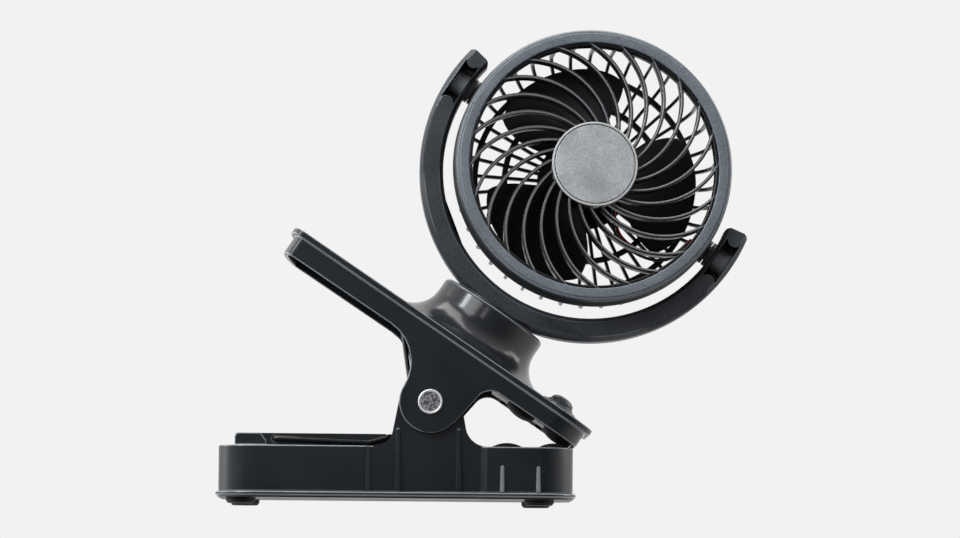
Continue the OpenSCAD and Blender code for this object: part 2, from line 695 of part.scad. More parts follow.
module clamp_jaw() {
    color("slategray") jaw_frame() difference() {
        union() {
            intersection() {
                translate([0, 0, -ear_r - 1]) linear_extrude(jaw_rise + ear_r) difference() {
                    jaw_plan(0);
                    jaw_plan(jaw_wall);
                }
                upright(0, base_w + 2) jaw_side_outline();
            }
            translate([0, 0, under_u]) linear_extrude(jaw_top_t) offset_plan();
            turret_outside();
            translate([button_v, 0, under_u]) cylinder(r = collar_r, h = jaw_top_t + collar_h);
            for (v = jaw_screw_v, s = [-1, 1]) translate([v, s * jaw_screw_y, cover_u + under_cover_t])
                cylinder(r = boss_r, h = under_u - cover_u - under_cover_t + lap);
            // posts that carry the switch board
            for (s = [-1, 1]) translate([button_v, s * 14, switch_board_u])
                cylinder(r = 2.2, h = under_u - switch_board_u + lap);
        }
        // inside of the turret
        translate([0, 0, under_u - 1]) cylinder(r = turret_in, h = roof_u - under_u + 1);
        translate([0, 0, turret_u - disc_sink]) cylinder(r = disc_r + slide_gap, h = disc_sink + 1);
        translate([0, 0, roof_u - 1]) cylinder(r = swivel_r + run_fit, h = 6);
        // button's hole
        translate([button_v, 0, under_u - 1])
            cylinder(r = button_r + 0.15, h = jaw_top_t + collar_h + 2);
        rotate([90, 0, 0]) cylinder(r = pin_d / 2 + run_fit, h = base_w + 2, center = true);
        for (v = jaw_screw_v, s = [-1, 1]) translate([v, s * jaw_screw_y, cover_u])
            cylinder(r = screw_r + fix_fit, h = 7.6);
    }
}
// outline of the jaw's top plate, wider than its walls by the lip
module offset_plan() {
    jaw_shape(-handle_l - jaw_lip - 1.5, tip_l + jaw_lip + 1.5, jaw_hw + jaw_lip,
        handle_r + jaw_lip, tip_r + jaw_lip, handle_bow);
}

module jaw_under_cover() {
    color("darkslategray") jaw_frame() difference() {
        intersection() {
            translate([0, 0, cover_u]) linear_extrude(under_cover_t) jaw_plan(jaw_wall + 0.25);
            translate([under_cover_v[0], -base_w / 2, cover_u - 1]) cube([under_cover_v[1], base_w, 10]);
        }
        for (v = jaw_screw_v, s = [-1, 1]) translate([v, s * jaw_screw_y, cover_u - 1])
            cylinder(r = screw_r + fix_fit, h = under_cover_t + 2);
    }
}

module jaw_screws() {
    color("silver") jaw_frame() for (v = jaw_screw_v, s = [-1, 1])
        translate([v, s * jaw_screw_y, cover_u]) screw(7);
}

module upper_pads() {
    depth = [upper_pad_h, front_pad_h];
    color("black") jaw_frame() for (i = [0, 1], k = pad_rows)
        translate([pad_v[i], k * pad_pitch, cover_u]) mirror([0, 0, 1]) dome(upper_pad_d / 2, depth[i]);
}

// thin board with a dome switch under the button
module switch_board() {
    color("darkgreen") jaw_frame() translate([button_v, 0, 0]) {
        translate([-9, -18, under_cover_top + 0.2]) cube([18, 36, switch_board_u - under_cover_top - 0.2]);
        translate([0, 0, switch_board_u - lap]) cylinder(r = 3.5, h = switch_u - switch_board_u + lap);
    }
}

module power_button() {
    color("gray") jaw_frame() translate([button_v, 0, 0]) {
        translate([0, 0, button_seat_u - button_flange_t]) cylinder(r = button_r + 1.2, h = button_flange_t);
        translate([0, 0, button_seat_u - lap])
            cylinder(r = button_r, h = jaw_rise + collar_h + 1 - button_seat_u + lap);
        // stepped dome
        translate([0, 0, jaw_rise + collar_h + 1]) dome(button_r - 0.6, button_h - collar_h - 1);
    }
}

// ---- swivel ----
module swivel_disc() {
    color("black") jaw_frame() difference() {
        union() {
            translate([0, 0, disc_u]) cylinder(r = disc_r, h = disc_top_u - disc_u);
            translate([0, 0, roof_u - slide_gap - retainer_t])
                cylinder(r = swivel_r, h = disc_u - roof_u + slide_gap + retainer_t + lap);
            translate([0, 0, disc_top_u - lap]) cylinder(r = spigot_r, h = spigot_h + lap);
        }
        translate([0, 0, roof_u - 10]) cylinder(r = spigot_r - 1.8, h = 40);
    }
}

module swivel_retainer() {
    color("silver") jaw_frame() translate([0, 0, roof_u - slide_gap - retainer_t]) difference() {
        cylinder(r = swivel_r + 5, h = retainer_t);
        translate([0, 0, -1]) cylinder(r = swivel_r + fix_fit, h = retainer_t + 2);
    }
}

// ---- yoke, in the plane of the pivots ----
module yoke_plan() {
    a = yoke_a - 2;
    far = 2 * yoke_out;
    intersection() {
        difference() {
            circle(yoke_out, $fn = 128);
            circle(yoke_r, $fn = 128);
        }
        // sector up to the two rounded ends
        union() {
            polygon([
                [0, 0], far * [sin(a - 0.3), -cos(a - 0.3)], [far, -far], [-far, -far],
                far * [-sin(a - 0.3), -cos(a - 0.3)]
            ]);
            for (s = [-1, 1]) rotate(-90 + s * a) scale([1, s]) polygon(rounded([
                [yoke_r - end_off, -1, 0], [yoke_r - end_off, end_r, end_r],
                [yoke_out + end_off, end_r, end_r], [yoke_out + end_off, -1, 0]
            ]));
        }
    }
}

module yoke_frame() {
    color("slategray") yoke_frame_at() difference() {
        union() {
            translate([0, 0, -yoke_w / 2]) linear_extrude(yoke_w) yoke_plan();
            for (s = [-1, 1]) rotate([0, s * 90, 0]) translate([0, 0, yoke_boss_face])
                cylinder(r = pivot_boss_r, h = yoke_r + 1 - yoke_boss_face);
        }
        // flat foot with the swivel's spigot in it
        translate([-yoke_out, -yoke_out - 10, -yoke_w]) cube([2 * yoke_out, yoke_out + 10 - yoke_flat, 2 * yoke_w]);
        translate([0, -yoke_flat, 0]) rotate([90, 0, 0])
            cylinder(r = spigot_r + fix_fit, h = 2 * (spigot_h + 0.3), center = true);
        // hollow behind the front wall, closed by the rear cover
        difference() {
            translate([0, 0, -yoke_w / 2 - 1]) linear_extrude(yoke_w - 2.4 + 1) yoke_channel(yoke_wall);
            yoke_screw_places(-yoke_w / 2 + 2) cylinder(r = yoke_t / 2 - yoke_wall - 0.25, h = yoke_w);
        }
        yoke_screw_places(-yoke_w / 2) cylinder(r = screw_r + fix_fit, h = yoke_screw_l + 1);
        // pockets at the pivots, open to the front
        for (s = [-1, 1]) translate([s * (pocket_r0 + pocket_r1) / 2, 0, yoke_w / 2 - pocket_depth])
            linear_extrude(pocket_depth + 1) difference() {
                square([pocket_r1 - pocket_r0, pocket_l], center = true);
                for (e = [-1, 1]) translate([0, e * (pocket_l / 2 + pocket_boss)])
                    circle(2 * pocket_boss);
            }
        yoke_edges();
        for (s = [-1, 1]) rotate([0, s * 90, 0]) translate([0, 0, yoke_boss_face - 1])
            cylinder(r = pivot_r + run_fit, h = pocket_r0 - yoke_boss_face + 2);
    }
}

// what the chamfers take off the two edges of the yoke's front face
module yoke_edges() {
    z = yoke_w / 2;
    c = yoke_edge_out;
    b = yoke_edge_in;
    rotate_extrude($fn = 128) polygon([
        [yoke_out - c - 0.5, z + 0.5], [yoke_out + 0.5, z - c - 0.5], [yoke_out + 3, z - c - 0.5], [yoke_out + 3, z + 0.5]
    ]);
    rotate_extrude($fn = 128) polygon([
        [yoke_r + 1.2 * b, z + 0.3 * b], [yoke_r - 3, z + 0.3 * b], [yoke_r - 3, z - 1.8 * b], [yoke_r - 0.2 * b, z - 1.8 * b]
    ]);
}

// arc inside the yoke's walls that stops short of the pivots and of the foot
module yoke_channel(wall) {
    a = 64;
    a0 = acos((yoke_flat - yoke_wall) / (yoke_out - yoke_wall));
    for (s = [-1, 1]) intersection() {
        difference() {
            circle(yoke_out - wall, $fn = 128);
            circle(yoke_r + wall, $fn = 128);
        }
        polygon([
            [0, 0], 2 * yoke_out * [cos(-90 + s * a0), sin(-90 + s * a0)],
            2 * yoke_out * [cos(-90 + s * 40), sin(-90 + s * 40)],
            2 * yoke_out * [cos(-90 + s * a), sin(-90 + s * a)]
        ]);
    }
}

module yoke_rear_cover() {
    color("darkslategray") yoke_frame_at() difference() {
        translate([0, 0, -yoke_w / 2]) linear_extrude(2) yoke_channel(yoke_wall + 0.15);
        yoke_screw_places(-yoke_w / 2 - 1) cylinder(r = screw_r + fix_fit, h = 5);
    }
}

yoke_screw_a = [-50, -20, 20, 50];
module yoke_screw_places(z) {
    for (a = yoke_screw_a) rotate(-90 + a) translate([(yoke_r + yoke_out) / 2, 0, z]) children();
}
module yoke_screws() { color("silver") yoke_frame_at() yoke_screw_places(-yoke_w / 2) screw(yoke_screw_l); }

module pivot_pins() {
    color("gray") yoke_frame_at() for (s = [-1, 1]) rotate([0, s * 90, 0]) {
        translate([0, 0, cage_r - 2]) cylinder(r = pivot_r, h = pocket_r0 + 1 - cage_r + 2);
        translate([0, 0, pocket_r0 + slide_gap])
            cylinder(r = pivot_head_r, h = pocket_r1 - pocket_r0 - 2 * slide_gap);
    }
}

// ---- head ----
module pivot_cut(r, from, to) {
    for (s = [-1, 1]) rotate([0, s * 90, 0]) translate([0, 0, from]) cylinder(r = r, h = to - from);
}

module bezel_ring() {
    z0 = bezel_z0;
    z1 = bezel_z1;
    color("lightslategray") head_frame() difference() {
        rotate_extrude($fn = 128) polygon(rounded([
            [bezel_in, z1 - 12, 0], [bezel_in, z1, 0.6], [bezel_r - 2.5, z1, 0.3], [bezel_r - 2.3, z1 - 0.6, 0],
            [bezel_r - 0.5, z1 - 0.6, 1.4], [bezel_r - 0.4, z1 - 3.2, 0], [bezel_r - 0.1, z1 - 3.4, 0],
            [bezel_r, z0 + 2, 0], [bezel_r - 0.5, z0, 0], [bezel_r - 2, z0, 0],
            [bezel_r - 2, z1 - 5, 0], [bezel_r - 3.6, z1 - 3, 0], [bezel_in + 1.6, z1 - 3, 0],
            [bezel_in + 1.6, z1 - 12, 0]
        ], 4));
        pivot_cut(pivot_boss_r + 0.4, bezel_r - 10, bezel_r + 2);
    }
}

// circle through the two ends and the middle of a rib that sweeps evenly from hub to rim
rib_p0 = [hub_r - 1, 0];
rib_p2 = (bezel_in + 0.6) * [cos(rib_sweep), sin(rib_sweep)];
rib_p1 = ((hub_r - 1 + bezel_in + 0.6) / 2) * [cos(rib_sweep / 2), sin(rib_sweep / 2)];
function circle3(a, b, c) =
    let (d = 2 * (a[0] * (b[1] - c[1]) + b[0] * (c[1] - a[1]) + c[0] * (a[1] - b[1])))
    [
        ((a * a) * (b[1] - c[1]) + (b * b) * (c[1] - a[1]) + (c * c) * (a[1] - b[1])) / d,
        ((a * a) * (c[0] - b[0]) + (b * b) * (a[0] - c[0]) + (c * c) * (b[0] - a[0])) / d
    ];
rib_c = circle3(rib_p0, rib_p1, rib_p2);
rib_r = norm(rib_p0 - rib_c);

module front_grille() {
    // the dome's section, as deep as the ribs
    r0 = hub_r - 1;
    r1 = bezel_in - 0.1;
    z0 = hub_z - hub_cap_t;
    z1 = bezel_z1 - 1.2;
    dome_z = [for (t = [0, 0.4, 0.75, 1]) [r0 + (r1 - r0) * t, z0 - (z0 - z1) * pow(t, 1.7)]];
    color("dimgray") head_frame() {
        intersection() {
            rotate_extrude() polygon(concat(
                dome_z, [for (i = [3 : -1 : 0]) dome_z[i] - [0, front_rib_depth]]));
            linear_extrude(hub_z) for (k = [0 : front_ribs - 1]) rotate(k * 360 / front_ribs - 3)
                intersection() {
                    translate(rib_c) difference() {
                        circle(rib_r + front_rib_t / 2);
                        circle(rib_r - front_rib_t / 2);
                    }
                    polygon([[0, 0], 90 * [cos(-4), sin(-4)], 100 * [cos(30), sin(30)], 90 * [cos(64), sin(64)]]);
                }
        }
        translate([0, 0, z0 - 6]) cylinder(r = hub_r - 0.6, h = 6);
        difference() {
            translate([0, 0, z1 - 6.5]) cylinder(r = bezel_in - 0.1, h = 6.5, $fn = 128);
            translate([0, 0, z1 - 8]) cylinder(r = bezel_in - 1.7, h = 9, $fn = 128);
        }
    }
}

module hub_cap() {
    color("silver") head_frame() translate([0, 0, hub_z - hub_cap_t]) rotate_extrude() polygon([
        [0, 0], [hub_r, 0], [hub_r, hub_cap_t - 0.5], [hub_r - 0.5, hub_cap_t], [hub_r - 1.3, hub_cap_t],
        [hub_r - 1.6, hub_cap_t - 0.6], [hub_r - 2.1, hub_cap_t - 0.6], [hub_r - 2.4, hub_cap_t - 0.1],
        [0, hub_cap_t]
    ]);
}

module rear_cage() {
    rib = rounded([
        [rib_out, cage_barrel[0] + 3, 0], [rib_out, cage_z + 3, cage_round], [motor_plate_r - 2, cage_z, 0],
        [motor_plate_r - 2, cage_z + rib_in, 0], [rib_out - rib_in, cage_z + 3 + rib_in, cage_round - rib_in],
        [rib_out - rib_in, cage_barrel[0] + 3, 0]
    ], 4);
    color("darkgray") head_frame() difference() {
        union() {
            rotate_extrude($fn = 128) polygon([
                [cage_r - cage_ring_t, cage_barrel[0]], [cage_r, cage_barrel[0]],
                [cage_r, cage_barrel[1]], [cage_r - cage_ring_t, cage_barrel[1]]
            ]);
            for (k = [0 : rear_ribs - 1]) rotate((k + 0.5) * 360 / rear_ribs)
                rotate([90, 0, 0]) translate([0, 0, -rear_rib_t / 2]) linear_extrude(rear_rib_t) polygon(rib);
            for (r = cage_rings) difference() {
                z = cage_z + 3 * (r - motor_plate_r) / (cage_r - motor_plate_r);
                translate([0, 0, z]) cylinder(r = r + 1.5, h = rib_in, $fn = 96);
                translate([0, 0, z - 1]) cylinder(r = r - 1.5, h = rib_in + 2, $fn = 96);
            }
            translate([0, 0, cage_z]) cylinder(r = motor_plate_r, h = motor_plate_t);
            difference() {
                translate([0, 0, motor_z0 - lap]) cylinder(r = motor_r + 2.6, h = 7 + lap);
                translate([0, 0, motor_z0 - 1]) cylinder(r = motor_r + 0.2, h = 10);
            }
            pivot_cut(pivot_boss_r, cage_r - 6, boss_face);
        }
        pivot_cut(pivot_r + fix_fit, cage_r - 2.02, boss_face + 1);
        for (a = motor_screw_a) rotate(a) translate([motor_r - 4.4, 0, cage_z - 1])
            cylinder(r = screw_r + fix_fit, h = motor_plate_t + 2);
        // way out of the motor's socket for the leads
        translate([motor_r - 0.5, -3.5, motor_z0 + 3]) cube([4.6, 7, 6]);
    }
}

module fan_motor() {
    color("gray") head_frame() difference() {
        translate([0, 0, motor_z0]) cylinder(r = motor_r, h = motor_l);
        translate([0, 0, motor_z0 + 4]) cylinder(r = shaft_r + run_fit, h = motor_l);
        for (a = motor_screw_a) rotate(a) translate([motor_r - 4.4, 0, motor_z0 - 1])
            cylinder(r = screw_r + fix_fit, h = 6);
    }
}

module motor_screws() {
    color("silver") head_frame() for (a = motor_screw_a) rotate(a) translate([motor_r - 4.4, 0, cage_z])
        screw(motor_plate_t + 4);
}

// leads from the motor out to the pivot, inside the cage
module motor_leads() {
    z = motor_z0 + motor_l / 4;
    bow = 1.18 * motor_r;
    function out(f) = motor_r + f * (cage_r - motor_r);
    color("red") head_frame() for (s = [-1, 1]) let (y = s * 1.1)
        tube([
            [motor_r + 0.1, y, z], [out(0.09), y - bow / 14, z], [out(0.325), y - 0.93 * bow, z - 2.5],
            [out(0.613), y - bow, z - 1], [out(0.811), y - 0.57 * bow, z + 1],
            [cage_r - 6.9, y, bezel_z0 - 7]
        ], lead_r, sides = 8);
}

module motor_shaft() {
    color("silver") head_frame() translate([0, 0, motor_z0 + 4.4])
        cylinder(r = shaft_r, h = prop_z + prop_face_t + 1 - motor_z0 - 4.4);
}

// one blade: a sheet that climbs with the angle, thinner to its edges
module blade() {
    nr = 6;
    na = 12;
    function pt(i, j, side) =
        let (f = i / nr, g = 2 * j / na - 1,
             r = prop_hub_r - 0.8 + (prop_r - prop_hub_r + 0.8) * f * (1 - 0.1 * pow(g, 4)),
             half = blade_angle / 2 * (0.75 + 0.25 * sin(90 * min(1, f * 1.4))) * (1 - 0.10 * pow(f, 6)),
             a = g * half - 6 * f,
             t = blade_t / 2 * (1 - 0.6 * g * g))
        [r * cos(a), r * sin(a), -blade_rise / 2 * g * (1 - 0.25 * f) + side * t];
    w = na + 1;
    n = (nr + 1) * w;
    pts = [for (side = [1, -1], i = [0 : nr], j = [0 : na]) pt(i, j, side)];
    top = [
        for (i = [0 : nr - 1], j = [0 : na - 1]) let (p = i * w + j)
            each [[p, p + w, p + w + 1], [p, p + w + 1, p + 1]]
    ];
    rim = concat(
        [for (j = [0 : na]) j],
        [for (i = [1 : nr]) i * w + na],
        [for (j = [na - 1 : -1 : 0]) nr * w + j],
        [for (i = [nr - 1 : -1 : 1]) i * w]
    );
    m = len(rim);
    faces = concat(
        top,
        [for (f = top) [f[2] + n, f[1] + n, f[0] + n]],
        [for (i = [0 : m - 1]) let (p = rim[i], q = rim[(i + 1) % m]) each [[p, q, q + n], [p, q + n, p + n]]]
    );
    polyhedron(pts, [for (f = faces) [f[2], f[1], f[0]]]);
}

module propeller() {
    color("dimgray") head_frame() difference() {
        union() {
            translate([0, 0, prop_z + prop_face_t - prop_skirt]) cylinder(r = prop_hub_r, h = prop_skirt);
            for (k = [0 : blades - 1]) rotate(blade_phase + k * 360 / blades)
                translate([0, 0, blade_z]) blade();
        }
        translate([0, 0, prop_z - prop_skirt]) cylinder(r = motor_r + 1.8, h = prop_skirt);
        translate([0, 0, prop_z - 1]) cylinder(r = shaft_r + fix_fit, h = 6);
    }
}

at_origin() base_shell();
at_origin() base_cover();
at_origin() rubber_feet();
at_origin() cover_screws();
at_origin() battery_cells();
at_origin() battery_cradle();
at_origin() control_board();
at_origin() port_board();
at_origin() charging_port();
at_origin() lower_pads();
at_origin() hinge_pin();
at_origin() clamp_springs();
at_origin() hanging_hook();
at_origin() clamp_jaw();
at_origin() jaw_under_cover();
at_origin() jaw_screws();
at_origin() upper_pads();
at_origin() switch_board();
at_origin() power_button();
at_origin() swivel_disc();
at_origin() swivel_retainer();
at_origin() yoke_frame();
at_origin() yoke_rear_cover();
at_origin() yoke_screws();
at_origin() pivot_pins();
at_origin() bezel_ring();
at_origin() front_grille();
at_origin() hub_cap();
at_origin() rear_cage();
at_origin() fan_motor();
at_origin() motor_screws();
at_origin() motor_leads();
at_origin() motor_shaft();
at_origin() propeller();
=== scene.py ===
from math import acos, asin, atan2, cos, degrees, hypot, pi, radians, sin, tan

import bmesh
import bpy
from mathutils import Matrix, Vector


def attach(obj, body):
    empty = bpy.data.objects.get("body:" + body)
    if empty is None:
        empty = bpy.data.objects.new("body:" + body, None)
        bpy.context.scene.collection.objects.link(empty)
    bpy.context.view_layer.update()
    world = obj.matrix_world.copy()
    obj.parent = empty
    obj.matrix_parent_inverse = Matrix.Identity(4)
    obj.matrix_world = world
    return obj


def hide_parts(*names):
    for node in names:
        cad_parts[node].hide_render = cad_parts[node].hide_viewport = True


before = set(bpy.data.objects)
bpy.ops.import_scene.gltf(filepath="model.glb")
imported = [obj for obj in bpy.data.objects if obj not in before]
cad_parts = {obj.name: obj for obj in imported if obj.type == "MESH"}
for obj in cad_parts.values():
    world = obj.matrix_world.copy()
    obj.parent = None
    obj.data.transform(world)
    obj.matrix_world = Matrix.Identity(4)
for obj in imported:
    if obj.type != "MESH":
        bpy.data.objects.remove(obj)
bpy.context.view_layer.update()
scene = bpy.context.scene

# ---------------------------------------------------------------- sizes in mm, as in the CAD
MM = 0.001
QUARTER = radians(90)
MID = 43.47539235504635           # the CAD's base frame starts this far left of the row's origin

PIN_X, PIN_Z = 17.0, 51.5
PIN_R, PIN_HEAD_Y = 3, 49.4       # the hinge pin's radius, and where its heads start
TUB_H, DECK_Z = 29.2, 35.4
STEPS = (-57.9, 0.7)              # middles of the tub's soft steps, in the row frame
GUSSETS = (-42.4, -11.9)
SMALL_RIBS, RIB_TOP_Z = (9.7, 28.0), 19.6
FEET_X, FEET_Y = (-77.75, 72.25), (-36, 36)
HOOK_X, HOOK_Y, HOOK_Z, HOOK_R = -60.95, 37.8, 32.7, 1.4

SLOPE = radians(34)               # of the jaw
JAW_RISE, UNDER_U = 34.5, 31.2    # from the pin up to the jaw's top and to its plate's underside
COVER_U = (TUB_H - PIN_Z + 0.4 + 73 * sin(SLOPE)) / cos(SLOPE) + 1.2
TURRET_IN, BUTTON_V = 26.7, 55
PAD_ROWS = (-30, 0, 30)
LOWER_PAD_X, LOWER_PAD_R, LOWER_PAD_H, LOWER_SKIRT = (56, 79.5), 7.5, 2.4, 0.5
UPPER_PAD_V, UPPER_PAD_R, UPPER_PAD_H, UPPER_SKIRT = (40, 62.2), 8, 2.8, 0.8

COIL_R, SPRING_WIRE_R, COIL_PITCH, COIL_TURNS = 8.5, 1.1, 2.7, 4
SPRING_Y, SPRING_FOOT, SPRING_REACH = 29, 11, 12

HEAD_U, HEAD_TILT = 144.1, 9.5
BEZEL_R, BEZEL_IN, BEZEL_Z0, BEZEL_Z1 = 71.1, 64.0, 5.0, 20.0
BEZEL_BACK_R, BEZEL_STEP_R = 69.1, 65.6
HUB_R, HUB_Z = 21.9, 22.0
RIBS, RIB_STEPS, RIB_SWEEP, RIB_START = 24, 24, radians(55), -3
CAGE_R, CAGE_Z, CAGE_ROUND = 68.9, -29.0, 13.0
CAGE_RIBS, CAGE_RIB_OUT, CAGE_RIB_DEEP, CAGE_HUB_R = 40, 68.0, 2.6, 22
BLADES, PROP_R, PROP_Z = 3, 56.5, -10.4
MOTOR_R, LEAD_R, LEAD_GAP = 11.9, 0.8, 1.1

BASE = Matrix.Translation((-MID, 0, 0))
ON_PIN = Matrix.Translation((PIN_X - MID, 0, PIN_Z))
JAW = ON_PIN @ Matrix.Rotation(SLOPE, 4, "Y")
HEAD = JAW @ Matrix.Translation((0, 0, HEAD_U)) @ Matrix.Rotation(radians(90 - HEAD_TILT), 4, "X")
JAW_UP = JAW.to_3x3() @ Vector((0, 0, 1))
JAW_TOP = JAW_UP.dot(JAW.translation) + JAW_RISE

# ---------------------------------------------------------------- how edges are found and rounded
SHARP = 32                        # faces that meet at more than this many degrees get a rounding
SHADED_SHARP = 34                 # and at more than this many, the shading breaks
SECOND_ROUNDING = 0.4             # share of the width where the full one has no room
MARGIN = 1.02                     # room asked for, as a share of the width
SHORTEST_RUN = 4                  # a run of edges shorter than this stays as it is
BLOCKED = 1e6                     # a length that no edge has


def rot_z(deg):
    return Matrix.Rotation(radians(deg), 4, "Z")


# ---------------------------------------------------------------- materials
def map_range(tree, value, low, high, to_low=0.0, to_high=1.0):
    n = tree.nodes.new("ShaderNodeMapRange")
    for socket, number in (("From Min", low), ("From Max", high),
                           ("To Min", to_low), ("To Max", to_high)):
        n.inputs[socket].default_value = number
    tree.links.new(value, n.inputs["Value"])
    return n.outputs["Result"]


def maths(tree, operation, a, b):
    n = tree.nodes.new("ShaderNodeMath")
    n.operation = operation
    tree.links.new(a, n.inputs[0])
    tree.links.new(b, n.inputs[1])
    return n.outputs["Value"]


def mixed_colour(tree, factor, a, b):
    n = tree.nodes.new("ShaderNodeMix")
    n.data_type = "RGBA"
    n.inputs["A"].default_value = (*a, 1)
    n.inputs["B"].default_value = (*b, 1)
    tree.links.new(factor, n.inputs["Factor"])
    return n.outputs["Result"]


def material(name, color, rough, metallic=0.0, grain=1500.0, bump=0.12, depth=0.00006,
             speckle=0.12, cloud=0.10, cloud_scale=45.0, rough_var=0.06, specular=0.5, coat=0.0,
             second=None, second_at=0.6, second_scale=300.0, streak=None, above=None):
    """Procedural finish: colour clouds and speckle, uneven gloss, and a fine grain as bump.

    second is a colour in spots, and streak stretches the pattern. above gives a direction, two
    heights along it, and the colour and roughness that the finish turns to between them."""
    m = bpy.data.materials.new(name)
    m.use_nodes = True
    tree = m.node_tree
    nodes, links = tree.nodes, tree.links
    shader = nodes["Principled BSDF"]
    shader.inputs["Metallic"].default_value = metallic
    shader.inputs["Specular IOR Level"].default_value = specular
    shader.inputs["Coat Weight"].default_value = coat
    object_at = nodes.new("ShaderNodeTexCoord").outputs["Object"]
    pattern_at = object_at
    if streak:
        mapping = nodes.new("ShaderNodeMapping")
        mapping.inputs["Scale"].default_value = streak
        links.new(object_at, mapping.inputs["Vector"])
        pattern_at = mapping.outputs["Vector"]

    def noise(scale, detail, roughness=0.5):
        n = nodes.new("ShaderNodeTexNoise")
        n.inputs["Scale"].default_value = scale
        n.inputs["Detail"].default_value = detail
        n.inputs["Roughness"].default_value = roughness
        links.new(pattern_at, n.inputs["Vector"])
        return n.outputs["Fac"]

    def spread(fac, low, high):
        """The useful middle of a noise, spread from low to high."""
        return map_range(tree, fac, 0.3, 0.7, low, high)

    fine = noise(grain, 2.0, 0.6)
    wide = noise(cloud_scale, 3.0)
    level = maths(tree, "MULTIPLY", spread(wide, 1 - cloud, 1 + cloud),
                  spread(fine, 1 - speckle, 1 + speckle))
    gloss = spread(wide, max(rough - rough_var, 0.03), min(rough + rough_var, 1))
    varied = None
    if second:
        spots = map_range(tree, noise(second_scale, 3.0, 0.7), second_at - 0.06, second_at + 0.06)
        varied = mixed_colour(tree, spots, color, second)
    if above:
        way, low, high, other, other_rough = above
        height = nodes.new("ShaderNodeVectorMath")
        height.operation = "DOT_PRODUCT"
        links.new(object_at, height.inputs[0])
        height.inputs[1].default_value = way
        share = map_range(tree, height.outputs["Value"], low, high)
        varied = mixed_colour(tree, share, color, other)
        smoother = nodes.new("ShaderNodeMix")
        smoother.inputs["B"].default_value = other_rough
        links.new(gloss, smoother.inputs["A"])
        links.new(share, smoother.inputs["Factor"])
        gloss = smoother.outputs["Result"]
    tint = nodes.new("ShaderNodeVectorMath")
    tint.operation = "SCALE"
    if varied:
        links.new(varied, tint.inputs[0])
    else:
        tint.inputs[0].default_value = color
    links.new(level, tint.inputs["Scale"])
    links.new(tint.outputs["Vector"], shader.inputs["Base Color"])
    links.new(gloss, shader.inputs["Roughness"])
    grained = nodes.new("ShaderNodeBump")
    grained.inputs["Strength"].default_value = bump
    grained.inputs["Distance"].default_value = depth
    links.new(fine, grained.inputs["Height"])
    links.new(grained.outputs["Normal"], shader.inputs["Normal"])
    return m


# moulded housings, and the painted highlight on their rounded edges
SATIN = dict(grain=2600, bump=0.03, speckle=0.06, rough_var=0.05)
DARK = (0.0082, 0.0112, 0.0148)
BODY = material("satin_plastic", DARK, 0.34, **SATIN)
SKIN = material("jaw_plastic", DARK, 0.34, **SATIN,
                above=(JAW_UP, (JAW_TOP + 0.4) * MM, (JAW_TOP + 3.5) * MM,
                       (0.0200, 0.0220, 0.0250), 0.19))
# rounded edges painted light and glossy: a painted highlight line
EDGE_HIGHLIGHT = material("edge_painted_highlight", (0.2000, 0.2150, 0.2350), 0.22, grain=2200, bump=0.02, speckle=0.06,
                rough_var=0.03, specular=0.9)
COVER = material("cover_plastic", (0.0100, 0.0115, 0.0130), 0.40, grain=1800, speckle=0.10)
INNER = material("inner_plastic", (0.0060, 0.0062, 0.0068), 0.45, grain=1800, bump=0.10)
BUTTON = material("button_plastic", (0.0520, 0.0550, 0.0600), 0.36, grain=2200, bump=0.08)
BARREL = material("pin_plastic", (0.2000, 0.2100, 0.2250), 0.26, grain=2200, bump=0.05,
                  speckle=0.10, specular=0.7)
GRAINED = material("grained_plastic", (0.0430, 0.0480, 0.0550), 0.46, grain=1300, bump=0.45,
                   depth=0.00012, speckle=0.35, cloud=0.12, cloud_scale=60)
# the grained parts' rounded edges painted light: a painted highlight line
GRAIN_EDGE_HIGHLIGHT = material("grained_edge_painted_highlight", (0.1250, 0.1360, 0.1500), 0.34, bump=0.2, speckle=0.20,
                      specular=0.6)

# head
BEZEL = material("bezel_plastic", (0.1720, 0.1920, 0.2190), 0.42, grain=1250, bump=0.45,
                 depth=0.00012, speckle=0.30, cloud_scale=60)
BEZEL_WALL = material("bezel_wall", (0.0200, 0.0225, 0.0260), 0.34, grain=1250, bump=0.35,
                      depth=0.0001, speckle=0.25)
BEZEL_LIP = material("bezel_lip", (0.0500, 0.0560, 0.0650), 0.26, grain=1250, bump=0.25,
                     depth=0.0001, speckle=0.20, specular=0.8)
CAP = material("cap_plastic", (0.5300, 0.5360, 0.5500), 0.36, metallic=0.2, grain=1100, bump=0.45,
               depth=0.00010, speckle=0.22, cloud=0.16, cloud_scale=70)
GRILLE = material("grille_plastic", (0.0085, 0.0090, 0.0100), 0.27, grain=2400, bump=0.05,
                  speckle=0.08)
# the front ribs' tops painted light: a painted highlight
RIB_TOP_HIGHLIGHT = material("rib_top_painted_highlight", (0.1900, 0.2000, 0.2150), 0.24, grain=2200, bump=0.05, speckle=0.10,
                   specular=0.8)
BLADE = material("blade_plastic", (0.0030, 0.0031, 0.0034), 0.38, grain=2000, bump=0.06,
                 speckle=0.15, cloud=0.2, specular=0.3)

# rubber, metal and wire
RUBBER = material("rubber", (0.0110, 0.0112, 0.0118), 0.62, grain=1600, bump=0.35, depth=0.0001,
                  speckle=0.25, specular=0.35)
